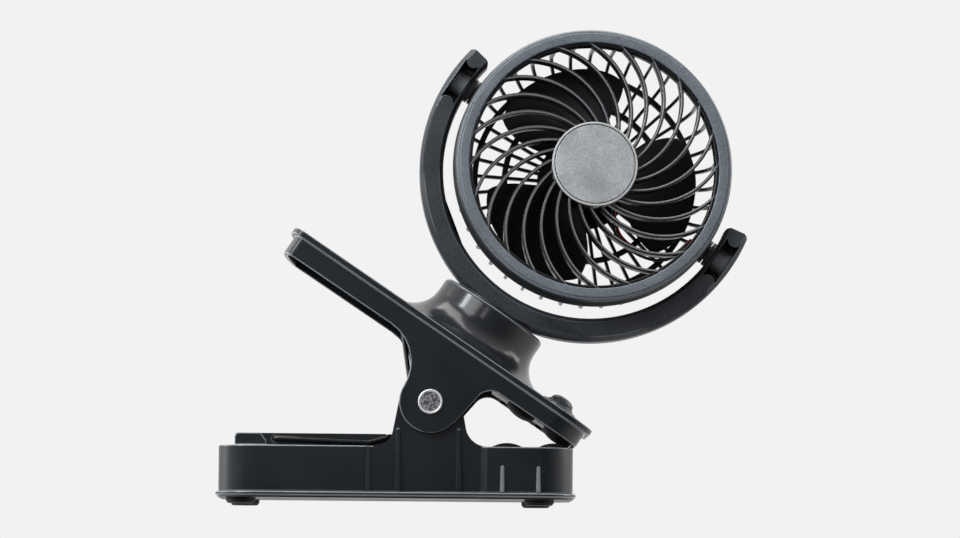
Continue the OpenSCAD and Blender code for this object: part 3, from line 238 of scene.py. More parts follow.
# bright metal on the hinge pin's rims; on the hub cap's outer bead the same colour is a painted
# highlight
BRIGHT_METAL_AND_HIGHLIGHT = material("bright_metal_and_painted_highlight", (0.90, 0.90, 0.89), 0.26, metallic=0.4, grain=1800, bump=0.05,
                  speckle=0.04, cloud=0.05)
SPECKLED = material("speckled_metal", (0.46, 0.45, 0.47), 0.42, metallic=0.7, bump=0.5,
                    depth=0.0001, speckle=0.3, second=(0.10, 0.095, 0.11), second_at=0.50,
                    second_scale=700)
STEEL = material("zinc_steel", (0.50, 0.50, 0.49), 0.30, metallic=1, bump=0.08, speckle=0.08,
                 cloud=0.12)
SCREW = material("blackened_screw", (0.050, 0.051, 0.054), 0.34, metallic=0.8, bump=0.08,
                 speckle=0.10)
SPRING = material("spring_steel", (0.070, 0.070, 0.074), 0.34, metallic=1, grain=1700,
                  speckle=0.15, cloud=0.15)
CAN = material("motor_can", (0.55, 0.54, 0.52), 0.34, metallic=1, grain=1200, speckle=0.10,
               streak=(1, 1, 6))
WIRE = material("coated_wire", (0.0065, 0.0068, 0.0072), 0.30, grain=1600, bump=0.18,
                speckle=0.15)
RED = material("red_lead", (0.42, 0.012, 0.012), 0.42, bump=0.10, speckle=0.10)
BLACK = material("black_lead", (0.010, 0.010, 0.011), 0.42, bump=0.10, speckle=0.10)

# inside the base
CELL = material("cell_sleeve", (0.030, 0.130, 0.060), 0.22, grain=900, bump=0.05, speckle=0.06,
                cloud=0.12, coat=0.3)
BOARD = material("circuit_board", (0.010, 0.085, 0.030), 0.38, grain=900, bump=0.25, speckle=0.15,
                 second=(0.020, 0.150, 0.060), second_at=0.55, second_scale=500)


# ---------------------------------------------------------------- outlines and paths
def corner_arc(a, b, c, r):
    """Centre, start and end of the arc of radius r that rounds the corner b between a and c."""
    a, b, c = Vector(a), Vector(b), Vector(c)
    p, q = (a - b).normalized(), (c - b).normalized()
    half = acos(max(-1, min(1, p.dot(q)))) / 2
    centre = b + (p + q).normalized() * r / sin(half)
    return centre, b + p * r / tan(half), b + q * r / tan(half)


def bend(a, b, c, r, n=8):
    """Points of a corner's arc in space."""
    centre, s, e = corner_arc(a, b, c, r)
    return [centre + (s.lerp(e, k / n) - centre).normalized() * r for k in range(n + 1)]


def fillet(rows, n):
    """Outline in 2D with rounded corners, from rows of x, y, radius."""
    out = []
    for i, (x, y, r) in enumerate(rows):
        if not r:
            out.append((x, y))
            continue
        centre, s, e = corner_arc(rows[i - 1][:2], (x, y), rows[(i + 1) % len(rows)][:2], r)
        s, e = s - centre, e - centre
        a0 = atan2(s.y, s.x)
        turn = (atan2(e.y, e.x) - a0 + 3 * pi) % (2 * pi) - pi
        out += [(centre.x + r * cos(a0 + turn * k / n), centre.y + r * sin(a0 + turn * k / n))
                for k in range(n + 1)]
    return out


def smooth_path(points, per=8):
    """Catmull-Rom points through a path."""
    p = [Vector(q) for q in points]
    p = [2 * p[0] - p[1]] + p + [2 * p[-1] - p[-2]]
    out = []
    for i in range(1, len(p) - 2):
        for k in range(per):
            t = k / per
            out.append(0.5 * (2 * p[i] + (p[i + 1] - p[i - 1]) * t
                              + (2 * p[i - 1] - 5 * p[i] + 4 * p[i + 1] - p[i + 2]) * t * t
                              + (3 * p[i] - p[i - 1] - 3 * p[i + 1] + p[i + 2]) * t ** 3))
    out.append(p[-2])
    return out


# ---------------------------------------------------------------- solids
def lathe(prof, n, ring=False):
    """Turned solid from a profile of r, z. A ring's profile is closed."""
    bm = bmesh.new()
    rows = []
    for r, z in prof:
        if r < 1e-6:
            rows.append([bm.verts.new((0, 0, z))])
        else:
            rows.append([bm.verts.new((r * cos(2 * pi * k / n), r * sin(2 * pi * k / n), z))
                         for k in range(n)])
    for a, b in zip(rows, rows[1:] + rows[:1] if ring else rows[1:]):
        for k in range(n):
            m = (k + 1) % n
            if len(a) == 1 and len(b) == 1:
                break
            if len(a) == 1:
                bm.faces.new((a[0], b[k], b[m]))
            elif len(b) == 1:
                bm.faces.new((a[k], b[0], a[m]))
            else:
                bm.faces.new((a[k], b[k], b[m], a[m]))
    bmesh.ops.recalc_face_normals(bm, faces=bm.faces)
    return bm


def loft(rings):
    """Skin over rings of the same number of points, with its ends capped."""
    bm = bmesh.new()
    rows = [[bm.verts.new(p) for p in ring] for ring in rings]
    n = len(rows[0])
    for a, b in zip(rows, rows[1:]):
        for k in range(n):
            bm.faces.new((a[k], a[(k + 1) % n], b[(k + 1) % n], b[k]))
    bm.faces.new(rows[0][::-1])
    bm.faces.new(rows[-1])
    bmesh.ops.recalc_face_normals(bm, faces=bm.faces)
    return bm


def tube(path, r, sides):
    """Round bar along a path, with rounded ends; its ring is carried along without twist."""
    p = [Vector(q) for q in path]
    tangents = [(p[min(i + 1, len(p) - 1)] - p[max(i - 1, 0)]).normalized()
                for i in range(len(p))]
    side = tangents[0].orthogonal().normalized()
    rings = []
    for q, t in zip(p, tangents):
        side = (side - t * side.dot(t)).normalized()
        rings.append((q, t, side, t.cross(side), r))
    ends = (0.6, 1.05, 1.45)
    q, t, s, u, _ = rings[0]
    rings = [(q - t * r * sin(a), t, s, u, r * cos(a)) for a in ends[::-1]] + rings
    q, t, s, u, _ = rings[-1]
    rings += [(q + t * r * sin(a), t, s, u, r * cos(a)) for a in ends]
    return loft([[q + (s * cos(2 * pi * k / sides) + u * sin(2 * pi * k / sides)) * w
                  for k in range(sides)] for q, t, s, u, w in rings])


def place(bm, *mats):
    for m in mats:
        bmesh.ops.transform(bm, matrix=m, verts=bm.verts)
    return bm


def flip(bm):
    """Mirror across the base's middle plane."""
    bm = bm.copy()
    bmesh.ops.scale(bm, vec=(1, -1, 1), verts=bm.verts)
    bmesh.ops.reverse_faces(bm, faces=bm.faces)
    return bm


# ---------------------------------------------------------------- rounded edges on the CAD's shapes
def cad(node):
    """Copy of a CAD node's mesh in mm, with its faces joined to whole flats."""
    bm = bmesh.new()
    bm.from_mesh(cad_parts[node].data)
    bmesh.ops.scale(bm, vec=(1000, 1000, 1000), verts=bm.verts)
    bmesh.ops.remove_doubles(bm, verts=bm.verts, dist=0.02)
    bmesh.ops.dissolve_limit(bm, angle_limit=radians(0.4), verts=bm.verts, edges=bm.edges)
    return bm


def sharp_edges(bm):
    """Edges where two faces meet at more than SHARP, apart from those of a rounding."""
    return {e for e in bm.edges
            if len(e.link_faces) == 2 and abs(e.calc_face_angle(0)) > radians(SHARP)
            and not any(f.material_index for f in e.link_faces)}


def trim_spurs(bm, short=0.6, rounds=4):
    """Takes out the tiny doubled-back steps that a union leaves in a flat's outline."""
    for _ in range(rounds):
        sharp = sharp_edges(bm)
        spurs = set()
        for e in sharp:
            for side in e.link_loops:
                before = side.link_loop_prev.edge
                if before in sharp and side.calc_angle() < radians(20):
                    small = min((e, before), key=lambda q: q.calc_length())
                    if small.calc_length() < short:
                        spurs.add(small)
        if not spurs:
            break
        bmesh.ops.collapse(bm, edges=list(spurs))
    return bm


def long_runs(edges):
    """The edges that belong to a connected run of at least SHORTEST_RUN."""
    left, kept = set(edges), set()
    while left:
        run, todo = set(), [left.pop()]
        while todo:
            e = todo.pop()
            run.add(e)
            for v in e.verts:
                for n in v.link_edges:
                    if n in left:
                        left.discard(n)
                        todo.append(n)
        if sum(e.calc_length() for e in run) >= SHORTEST_RUN:
            kept |= run
    return kept


def used_length(side, width, sharp, ends):
    """How much of an edge a rounding of this width takes at both its ends, on one face."""
    before, after = side.link_loop_prev, side.link_loop_next
    used = 0
    for corner, edge, far in ((side, before.edge, before.vert),
                              (after, after.edge, after.link_loop_next.vert)):
        a = corner.calc_angle()
        a = a if corner.is_convex else 2 * pi - a
        if edge in sharp:
            used += max(0, width / tan(a / 2)) if 0.02 < a < 2 * pi - 0.02 else BLOCKED
        elif (abs(sin(a)) < 0.25
              or width / abs(sin(a)) > edge.calc_length() * (0.5 if far in ends else 1)):
            used += BLOCKED
        elif a < pi / 2:
            used += width / tan(a)
    return used


def roomy_edges(bm, width, rounds=12):
    """Sharp edges whose faces have room for a rounding of this width on both sides."""
    sharp = sharp_edges(bm)
    for _ in range(rounds):
        ends = {v for e in sharp for v in e.verts}
        tight = {e for e in sharp if any(
            used_length(side, width, sharp, ends) > e.calc_length() for side in e.link_loops)}
        if not tight:
            break
        sharp -= tight
    return long_runs(sharp)


def round_edges(bm, width):
    """Rounds the sharp edges, the tight ones by less; the new faces get material index 1."""
    for w in (width, width * SECOND_ROUNDING):
        edges = roomy_edges(bm, w * MARGIN)
        if edges:
            done = bmesh.ops.bevel(bm, geom=list(edges), offset=w, offset_type="OFFSET",
                                   segments=2, profile=0.5, affect="EDGES", clamp_overlap=False,
                                   loop_slide=True)
            for f in done["faces"]:
                f.material_index = 1
    return bm


# ---------------------------------------------------------------- pieces
def piece(name, parts, place_at, body, slot, *stands_for, sharp=SHADED_SHARP):
    """One object from pairs in mm, placed in the row frame in metres: a mesh with its material,
    or with a list of materials that its faces' indices pick from."""
    mesh = bpy.data.meshes.new(name)
    mats, out = [], bmesh.new()
    for bm, given in parts:
        choice = given if isinstance(given, list) else [given]
        for mat in choice:
            if mat not in mats:
                mats.append(mat)
        for f in bm.faces:
            f.material_index = mats.index(choice[min(f.material_index, len(choice) - 1)])
        tmp = bpy.data.meshes.new("tmp")
        bm.to_mesh(tmp)
        bm.free()
        out.from_mesh(tmp)
        bpy.data.meshes.remove(tmp)
    bmesh.ops.transform(out, matrix=Matrix.Scale(MM, 4) @ place_at, verts=out.verts)
    for f in out.faces:
        f.smooth = True
    out.to_mesh(mesh)
    out.free()
    mesh.set_sharp_from_angle(angle=radians(sharp))
    for m in mats:
        mesh.materials.append(m)
    o = bpy.data.objects.new(name, mesh)
    scene.collection.objects.link(o)
    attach(o, body)
    if stands_for:
        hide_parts(*stands_for)
    return o


def dress(node, name, mats, width, body, slot, pick=None):
    """The CAD node's own shape with rounded edges. Its materials are those of the faces and of
    the rounded edges; pick may choose another index for a face."""
    bm = round_edges(trim_spurs(cad(node)), width)
    for f in bm.faces:
        choice = pick(f) if pick else None
        if choice is not None:
            f.material_index = choice
    o = piece(name, [(bm, mats)], Matrix.Identity(4), body, slot, node)
    flats = o.modifiers.new("flat_faces_stay_flat", "WEIGHTED_NORMAL")
    flats.keep_sharp = True


# ---------------------------------------------------------------- camera
FOCAL, FRAME_WIDE = 5600, 960     # in pixels
CAM_YAW, CAM_PITCH, CAM_ROLL = radians(-0.673), radians(3.341), radians(0.521)
CAM_AT = Vector((-35.1, -2854, -45.5))

cam_data = bpy.data.cameras.new("camera")
cam_data.sensor_width = 36
cam_data.lens = FOCAL / FRAME_WIDE * cam_data.sensor_width
cam_data.clip_start, cam_data.clip_end = 0.05, 50
camera = bpy.data.objects.new("camera", cam_data)
scene.collection.objects.link(camera)
scene.camera = camera
view_rot = (Matrix.Rotation(-CAM_ROLL, 3, "Z") @ Matrix(((1, 0, 0), (0, 0, 1), (0, -1, 0)))
            @ Matrix.Rotation(-CAM_PITCH, 3, "X") @ Matrix.Rotation(-CAM_YAW, 3, "Z"))
camera.matrix_world = Matrix.Translation(CAM_AT * MM) @ view_rot.transposed().to_4x4()

# ---------------------------------------------------------------- world
# The camera sees a pale backdrop, which glossy surfaces mirror towards the back of the room. The
# light comes from a soft room that is darker on the camera's side.
PALE = (0.888, 0.888, 0.888, 1)
scene.view_settings.view_transform = "Standard"
world = bpy.data.worlds.new("studio")
scene.world = world
world.use_nodes = True
sky = world.node_tree
sky.nodes.clear()
out = sky.nodes.new("ShaderNodeOutputWorld")
rays = sky.nodes.new("ShaderNodeLightPath").outputs
direction = sky.nodes.new("ShaderNodeTexCoord")
split = sky.nodes.new("ShaderNodeSeparateXYZ")
sky.links.new(direction.outputs["Generated"], split.inputs["Vector"])
backward = split.outputs["Y"]
soft = sky.nodes.new("ShaderNodeBackground")
soft.inputs["Color"].default_value = (0.96, 0.98, 1, 1)
sky.links.new(map_range(sky, backward, -0.8, 0.0, 0.10, 0.85), soft.inputs["Strength"])
pale = sky.nodes.new("ShaderNodeBackground")
pale.inputs["Color"].default_value = PALE
mirrored = maths(sky, "MULTIPLY", rays["Is Glossy Ray"], map_range(sky, backward, -0.6, 0.1))
through = maths(sky, "MAXIMUM", rays["Is Camera Ray"], rays["Is Transmission Ray"])
mix = sky.nodes.new("ShaderNodeMixShader")
sky.links.new(maths(sky, "MAXIMUM", through, mirrored), mix.inputs["Fac"])
sky.links.new(soft.outputs["Background"], mix.inputs[1])
sky.links.new(pale.outputs["Background"], mix.inputs[2])
sky.links.new(mix.outputs["Shader"], out.inputs["Surface"])

# ---------------------------------------------------------------- floor
# It shows only from above, because the camera looks from just under the table's edge.
bm = bmesh.new()
bmesh.ops.create_circle(bm, cap_ends=True, segments=64, radius=6)
floor_mesh = bpy.data.meshes.new("floor")
bm.to_mesh(floor_mesh)
bm.free()
floor = bpy.data.objects.new("floor", floor_mesh)
floor.location.z = -0.0001
scene.collection.objects.link(floor)
floor.visible_glossy = False
floor.visible_diffuse = False
floor_mat = bpy.data.materials.new("pale_floor")
floor_mat.use_nodes = True
nodes, links = floor_mat.node_tree.nodes, floor_mat.node_tree.links
shader = nodes["Principled BSDF"]
shader.inputs["Base Color"].default_value = (0.80, 0.80, 0.80, 1)
shader.inputs["Roughness"].default_value = 0.75
shader.inputs["Specular IOR Level"].default_value = 0.2
clear = nodes.new("ShaderNodeBsdfTransparent")
geometry = nodes.new("ShaderNodeNewGeometry")
sides = nodes.new("ShaderNodeMixShader")
links.new(geometry.outputs["Backfacing"], sides.inputs["Fac"])
links.new(shader.outputs["BSDF"], sides.inputs[1])
links.new(clear.outputs["BSDF"], sides.inputs[2])
links.new(sides.outputs["Shader"], nodes["Material Output"].inputs["Surface"])
floor_mesh.materials.append(floor_mat)

# ---------------------------------------------------------------- lamps
WHITE, COOL = (1, 1, 1), (0.90, 0.96, 1.0)
for name, at, aim, size, watts, colour in (
    ("top_box", (-0.1, 0.15, 1.5), (0, 0, 0.1), (1.4, 1.2), 22, WHITE),
    ("key_box", (-0.8, -1.3, 1.1), (0.03, 0, 0.13), (0.8, 0.8), 9, WHITE),
    ("strip", (-1.12, -0.85, 0.89), (0.0, 0, 0.1), (0.22, 0.9), 13, COOL),
    ("front_box", (-0.35, -2.2, 0.5), (0.0, 0, 0.1), (0.25, 0.25), 1.2, WHITE),
    ("right_box", (1.3, 0.3, 0.6), (0, 0, 0.1), (0.7, 1.0), 6.5, WHITE),
    ("left_box", (-1.3, 0.35, 0.5), (0, 0, 0.1), (0.6, 1.0), 5, WHITE),
):
    light = bpy.data.lights.new(name, "AREA")
    light.shape = "RECTANGLE"
    light.size, light.size_y = size
    light.energy = watts
    light.color = colour
    lamp = bpy.data.objects.new(name, light)
    lamp.location = at
    lamp.rotation_euler = (Vector(aim) - Vector(at)).to_track_quat("-Z", "Y").to_euler()
    lamp.visible_camera = False
    scene.collection.objects.link(lamp)


# ---------------------------------------------------------------- base
def nearest(x, places):
    return min(abs(x - p) for p in places)


def tub_edge_highlight(f):
    """The soft steps and the gussets' uprights get no painted edge highlight; the small ribs'
    fronts are painted light as a painted highlight.
    """
    middle = f.calc_center_median()
    upright = abs(f.normal.z) < 0.2
    if f.material_index == 1 and upright:
        if nearest(middle.x, STEPS) < 4.5 or nearest(middle.x, GUSSETS) < 3:
            return 0
    elif (upright and abs(f.normal.y) > 0.7 and middle.z < RIB_TOP_Z
          and nearest(middle.x, SMALL_RIBS) < 1.2 and f.calc_area() < 60):
        return 1
    return None


# the rounded edges of the base's shell and cover take the painted edge highlight
dress("base_shell", "base_shell_moulded", [BODY, EDGE_HIGHLIGHT], 0.6, "base", "body_plastic", tub_edge_highlight)
dress("base_cover", "base_cover_moulded", [COVER, EDGE_HIGHLIGHT], 0.7, "base", "cover_plastic")

# hinge pin: at each end a bright rim round a speckled, slightly sunk face
shaft = lathe([(0, -PIN_HEAD_Y), (PIN_R, -PIN_HEAD_Y), (PIN_R, PIN_HEAD_Y), (0, PIN_HEAD_Y)], 48)
parts = [(place(shaft, Matrix.Rotation(QUARTER, 4, "X")), STEEL)]
for s in (1, -1):
    face = lathe([(0, 0.95), (5.2, 0.95), (5.2, 0.5), (0, 0.5)], 64)
    rim = lathe([(5.1, 0.5), (5.1, 0.98), (5.25, 1.12), (5.5, 1.2), (5.8, 1.16), (6.05, 1.0),
                 (6.2, 0.7), (6.2, 0.05), (6.1, 0), (0, 0), (0, 0.5)], 64)
    for bm, mat in ((face, SPECKLED), (rim, BRIGHT_METAL_AND_HIGHLIGHT)):
        parts.append((place(bm, Matrix.Translation((0, 0, PIN_HEAD_Y)),
                            Matrix.Rotation(QUARTER * s, 4, "X")), mat))
piece("hinge_pin_turned", parts, ON_PIN, "base", "pin_metal", "hinge_pin")

foot = [(0, 0), (6.2, 0), (6.9, 0.35), (6.9, 0.9), (7.5, 1.1), (7.5, 3), (0, 3)]
parts = [(place(lathe(foot, 56), Matrix.Translation((x, y, 0))), RUBBER)
         for x in FEET_X for y in FEET_Y]
piece("rubber_feet_moulded", parts, BASE, "base", "rubber", "rubber_feet")


def dome_profile(a, h, skirt, steps=12):
    """A pad's round top over a short skirt."""
    r = (a * a + (h - skirt) ** 2) / (2 * (h - skirt))
    top = asin(min(1, a / r))
    return [(0, 0), (a, 0), (a, skirt * 0.6)] + [
        (r * sin(top * (1 - k / steps)), h - r + r * cos(top * (1 - k / steps)))
        for k in range(steps + 1)]


pad = dome_profile(LOWER_PAD_R, LOWER_PAD_H, LOWER_SKIRT)
parts = [(place(lathe(pad, 56), Matrix.Translation((x, y, TUB_H))), RUBBER)
         for x in LOWER_PAD_X for y in PAD_ROWS]
piece("lower_pads_moulded", parts, BASE, "base", "rubber", "lower_pads")

# clamp springs: a coil with one leg on the deck and one under the jaw's plate, both on its tangent
steps = COIL_TURNS * 36
foot_z = DECK_Z - PIN_Z + SPRING_WIRE_R + 0.15
top_v, top_u = -TURRET_IN - SPRING_REACH, UNDER_U - SPRING_WIRE_R - 0.3
top_x = top_v * cos(SLOPE) + top_u * sin(SLOPE)
top_z = -top_v * sin(SLOPE) + top_u * cos(SLOPE)
start = (degrees(atan2(foot_z, -SPRING_FOOT))
         - degrees(acos(COIL_R / hypot(SPRING_FOOT, foot_z))) + 360)
turn = (start - degrees(atan2(top_z, top_x)) - degrees(acos(COIL_R / hypot(top_x, top_z)))
        + 360 * COIL_TURNS)
coil = [(COIL_R * cos(radians(start - turn * i / steps)), COIL_PITCH * turn / 360 * i / steps,
         COIL_R * sin(radians(start - turn * i / steps))) for i in range(steps + 1)]
way = [(-SPRING_FOOT, 0, foot_z)] + coil + [(top_x, COIL_PITCH * turn / 360, top_z)]
parts = []
for s in (1, -1):
    bm = place(tube(way, SPRING_WIRE_R, 12), Matrix.Translation((0, -SPRING_Y, 0)))
    parts.append((bm if s == 1 else flip(bm), SPRING))
piece("clamp_springs_wound", parts, ON_PIN, "base", "spring_steel", "clamp_springs")

# ---------------------------------------------------------------- hook: a bent wire bail
corner = [(0, 32, 0), (0, HOOK_Y, 0), (47, HOOK_Y, -1.7), (58, HOOK_Y, 1.3), (58, -HOOK_Y, 1.3),
          (47, -HOOK_Y, -1.7), (0, -HOOK_Y, 0), (0, -32, 0)]
way = [corner[0]]
for i, r in ((1, 1.5), (2, 6), (3, 2.2), (4, 2.2), (5, 6), (6, 1.5)):
    way += bend(corner[i - 1], corner[i], corner[i + 1], r)
way.append(corner[-1])
piece("hanging_hook_bent", [(tube(way, HOOK_R, 16), WIRE)],
      BASE @ Matrix.Translation((HOOK_X, 0, HOOK_Z)), "hook", "hook_wire", "hanging_hook")

# ---------------------------------------------------------------- jaw
# the jaw's rounded edges take the painted edge highlight
dress("clamp_jaw", "clamp_jaw_moulded", [SKIN, EDGE_HIGHLIGHT], 0.55, "jaw", "body_plastic")
dress("jaw_under_cover", "jaw_under_cover_moulded", [COVER], 0.3, "jaw", "cover_plastic")
pad = dome_profile(UPPER_PAD_R, UPPER_PAD_H, UPPER_SKIRT)
parts = [(place(lathe(pad, 56), Matrix.Scale(-1, 4, (0, 0, 1)),
                Matrix.Translation((v, y, COVER_U))), RUBBER)
         for v in UPPER_PAD_V for y in PAD_ROWS]
for bm, _ in parts:
    bmesh.ops.recalc_face_normals(bm, faces=bm.faces)
piece("upper_pads_moulded", parts, JAW, "jaw", "rubber", "upper_pads")

# stepped button
dome_r, dome_h, dome_z = 6.3, 3.35, JAW_RISE + 3.6
prof = [(0, 29.4), (8.6, 29.4), (8.6, 30.8), (7.4, 30.8), (7.4, dome_z - 0.4), (7.1, dome_z),
        (6.5, dome_z + 0.1), (dome_r, dome_z + 0.5)]
prof += [(dome_r * cos(radians(a)) ** 0.8, dome_z + 0.5 + dome_h * sin(radians(a)))
         for a in (12, 25, 38, 50, 62, 74, 84)]
prof.append((0, dome_z + 3.85))
piece("power_button_moulded", [(lathe(prof, 72), BUTTON)],
      JAW @ Matrix.Translation((BUTTON_V, 0, 0)), "button", "button_plastic", "power_button")

# ---------------------------------------------------------------- yoke
# the yoke's rounded edges take the painted edge highlight
dress("yoke_frame", "yoke_frame_moulded", [GRAINED, GRAIN_EDGE_HIGHLIGHT], 0.4, "yoke", "body_plastic")
dress("yoke_rear_cover", "yoke_rear_cover_moulded", [COVER], 0.25, "yoke", "cover_plastic")

# ---------------------------------------------------------------- head
# bezel: a broad front face, a sunk step at its rim, and a smoother outer wall
prof = fillet([
    (BEZEL_IN, 8.0, 0), (BEZEL_IN, BEZEL_Z1 - 0.1, 0.6), (BEZEL_R - 2.55, BEZEL_Z1 - 0.1, 0.35),
    (BEZEL_R - 2.4, BEZEL_Z1 - 0.75, 0.1), (BEZEL_R - 0.5, BEZEL_Z1 - 0.65, 1.5),
    (BEZEL_R - 0.45, BEZEL_Z1 - 3.2, 0.1), (BEZEL_R - 0.15, BEZEL_Z1 - 3.5, 0.2),
    (BEZEL_R, BEZEL_Z0 + 2, 1.0), (BEZEL_R - 0.6, BEZEL_Z0, 0.3), (BEZEL_BACK_R, BEZEL_Z0, 0),
    (BEZEL_BACK_R, 15.0, 0), (67.5, 17.0, 0), (BEZEL_STEP_R, 17.0, 0), (BEZEL_STEP_R, 8.0, 0)], 5)
bezel = lathe(prof, 180, ring=True)
for f in bezel.faces:
    if all(v.co.z < BEZEL_Z1 - 3.1 and v.co.xy.length > 69 for v in f.verts):
        f.material_index = 1
    elif f.calc_center_median().xy.length > 69.9:
        f.material_index = 2
piece("bezel_ring_moulded", [(bezel, [BEZEL, BEZEL_WALL, BEZEL_LIP])], HEAD, "head",
      "bezel_plastic", "bezel_ring")

# hub cap: a grained disc, a groove and side wall painted dark as painted shade, and a ring painted
# bright as a painted highlight
prof = [(0, -3), (21.7, -3), (HUB_R, -2.7), (HUB_R, -0.7), (21.75, -0.3), (21.5, -0.05),
        (21.2, 0), (20.9, -0.05), (20.75, -0.3), (20.7, -0.65), (20.4, -0.65), (20.3, -0.3),
        (20.1, -0.15), (16, -0.1), (8, -0.03), (0, 0)]
cap = lathe([(r, HUB_Z + z) for r, z in prof], 120)
for f in cap.faces:
    r, z = f.calc_center_median().xy.length, f.calc_center_median().z - HUB_Z
    # the groove and the lower side wall take the dark wall colour: painted shade
    if 20.25 < r < 20.8 or z < -0.6 and r > 21.2:
        f.material_index = 1
    # the outer bead takes the bright metal colour: a painted highlight
    elif r >= 20.8:
        f.material_index = 2
piece("hub_cap_moulded", [(cap, [CAP, BEZEL_WALL, BRIGHT_METAL_AND_HIGHLIGHT])], HEAD, "head", "cap_plastic",
      "hub_cap")


def polar(r, angle):
    return Vector((r * cos(angle), r * sin(angle)))


# front ribs: thin blades with a rounded top painted light as a painted highlight, on circles that
# sweep from hub to rim
inner_r, outer_r = HUB_R - 1, BEZEL_IN + 0.6
p0 = Vector((inner_r, 0))
p1 = polar((inner_r + outer_r) / 2, RIB_SWEEP / 2)
p2 = polar(outer_r, RIB_SWEEP)
d = 2 * (p0.x * (p1.y - p2.y) + p1.x * (p2.y - p0.y) + p2.x * (p0.y - p1.y))
centre = Vector((
    (p0.dot(p0) * (p1.y - p2.y) + p1.dot(p1) * (p2.y - p0.y) + p2.dot(p2) * (p0.y - p1.y)) / d,
    (p0.dot(p0) * (p2.x - p1.x) + p1.dot(p1) * (p0.x - p2.x) + p2.dot(p2) * (p1.x - p0.x)) / d))
radius = (p0 - centre).length
first, last = (atan2(p.y - centre.y, p.x - centre.x) for p in (p0, p2))
sweep = (last - first + pi) % (2 * pi) - pi
section = [(0.65, -7), (0.95, -1.1), (0.85, -0.5), (0.55, -0.1), (0.2, 0), (-0.2, 0),
           (-0.55, -0.1), (-0.85, -0.5), (-0.95, -1.1), (-0.65, -7)]
HIGHLIT_SIDES = (4, 5)                     # sides of the section whose top is painted light as a painted highlight
parts = []
for k in range(RIBS):
    rings = []
    for i in range(RIB_STEPS + 1):
        outward = polar(1, first + sweep * i / RIB_STEPS)
        q = centre + outward * radius
        z = 19 - 0.2 * max(0, min(1, (q.length - inner_r) / 43)) ** 1.7
        rings.append([(q.x + outward.x * w, q.y + outward.y * w, z + h) for w, h in section])
    rib = loft(rings)
    for i, f in enumerate(rib.faces):
        if i < RIB_STEPS * len(section) and i % len(section) in HIGHLIT_SIDES:
            f.material_index = 1
    parts.append((place(rib, rot_z(360 / RIBS * k + RIB_START)), [GRILLE, RIB_TOP_HIGHLIGHT]))
grille_hub = lathe([(0, 13), (20.9, 13), (21.3, 13.4), (21.3, 19), (0, 19)], 96)
grille_rim = lathe([(62.3, 12.3), (63.9, 12.3), (63.9, 18.6), (63.7, 18.8), (62.6, 18.8),
                    (62.3, 18.5)], 160, ring=True)
parts += [(grille_hub, GRILLE), (grille_rim, GRILLE)]
piece("front_grille_moulded", parts, HEAD, "head", "grille_plastic", "front_grille", sharp=50)


def box_ring(r0, z0, r1, z1, rounds, n):
    """Ring of rectangular section with rounded corners, from the inner lower one round."""
    corners = ((r0, z0), (r1, z0), (r1, z1), (r0, z1))
    return lathe(fillet([(*at, r) for at, r in zip(corners, rounds)], 3), n, ring=True)


# rear cage: ribs, a collar, two rings, a disc with a sleeve round the motor, and the pivot bosses
outer = fillet([(CAGE_RIB_OUT, -0.5, 0), (CAGE_RIB_OUT, CAGE_Z + 3, CAGE_ROUND),
                (CAGE_HUB_R, CAGE_Z, 0)], 12)
inner = fillet([(CAGE_RIB_OUT - CAGE_RIB_DEEP, -0.5, 0),
                (CAGE_RIB_OUT - CAGE_RIB_DEEP, CAGE_Z + 5.6, CAGE_ROUND - CAGE_RIB_DEEP),
                (CAGE_HUB_R, CAGE_Z + CAGE_RIB_DEEP, 0)], 12)
section = ((-0.85, 0.2), (-0.6, 0.03), (0, 0), (0.6, 0.03), (0.85, 0.2), (0.85, 0.85),
           (0.55, 1), (-0.55, 1), (-0.85, 0.85))
parts = []
for k in range(CAGE_RIBS):
    rings = [[(ro + (ri - ro) * f, w, zo + (zi - zo) * f) for w, f in section]
             for (ro, zo), (ri, zi) in zip(outer, inner)]
    parts.append((place(loft(rings), rot_z((k + 0.5) * 360 / CAGE_RIBS)), GRILLE))
parts.append((box_ring(66.9, -3.5, CAGE_R, 11, (0.3, 0.5, 0.3, 0.3), 160), GRILLE))
for r in (56.5, 41):
    z = CAGE_Z + 3 * (r - 24) / (CAGE_R - 24)
    parts.append((box_ring(r - 1.5, z, r + 1.5, z + CAGE_RIB_DEEP, (0.5,) * 4, 120), GRILLE))
disc = lathe([(0, -28.9), (23.4, -28.9), (24, -28.4), (24, -27), (23.6, -26.6), (0, -26.6)], 96)
parts += [(disc, GRILLE), (box_ring(12.1, -27, 14.5, -19.6, (0, 0, 0.5, 0.4), 72), GRILLE)]
for s in (1, -1):
    boss = lathe([(0, 62.9), (6.6, 62.9), (6.6, 72.0), (6.2, 72.4), (4.05, 72.4), (4.05, 66.9),
                  (0, 66.9)], 48)
    parts.append((place(boss, Matrix.Rotation(QUARTER * s, 4, "Y")), GRILLE))
piece("rear_cage_moulded", parts, HEAD, "head", "grille_plastic", "rear_cage", sharp=40)

# leads from the motor to the pivot, bowed out to one side
z = -26.6 + 5
bow = 1.18 * MOTOR_R
for s, mat, name in ((1, RED, "motor_lead_red"), (-1, BLACK, "motor_lead_black")):
    y = s * LEAD_GAP
    way = [(MOTOR_R + t * (CAGE_R - MOTOR_R), y - side, z + rise) for t, side, rise in (
        (0.09, bow / 14, 0), (0.325, 0.93 * bow, -2.5), (0.613, bow, -1), (0.811, 0.57 * bow, 1))]
    way = smooth_path([(12.0, y, z)] + way + [(62.0, y, -2)])
    o = piece(name, [(tube(way, LEAD_R, 12), mat)], HEAD, "head", "lead_cover")
    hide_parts("motor_leads")


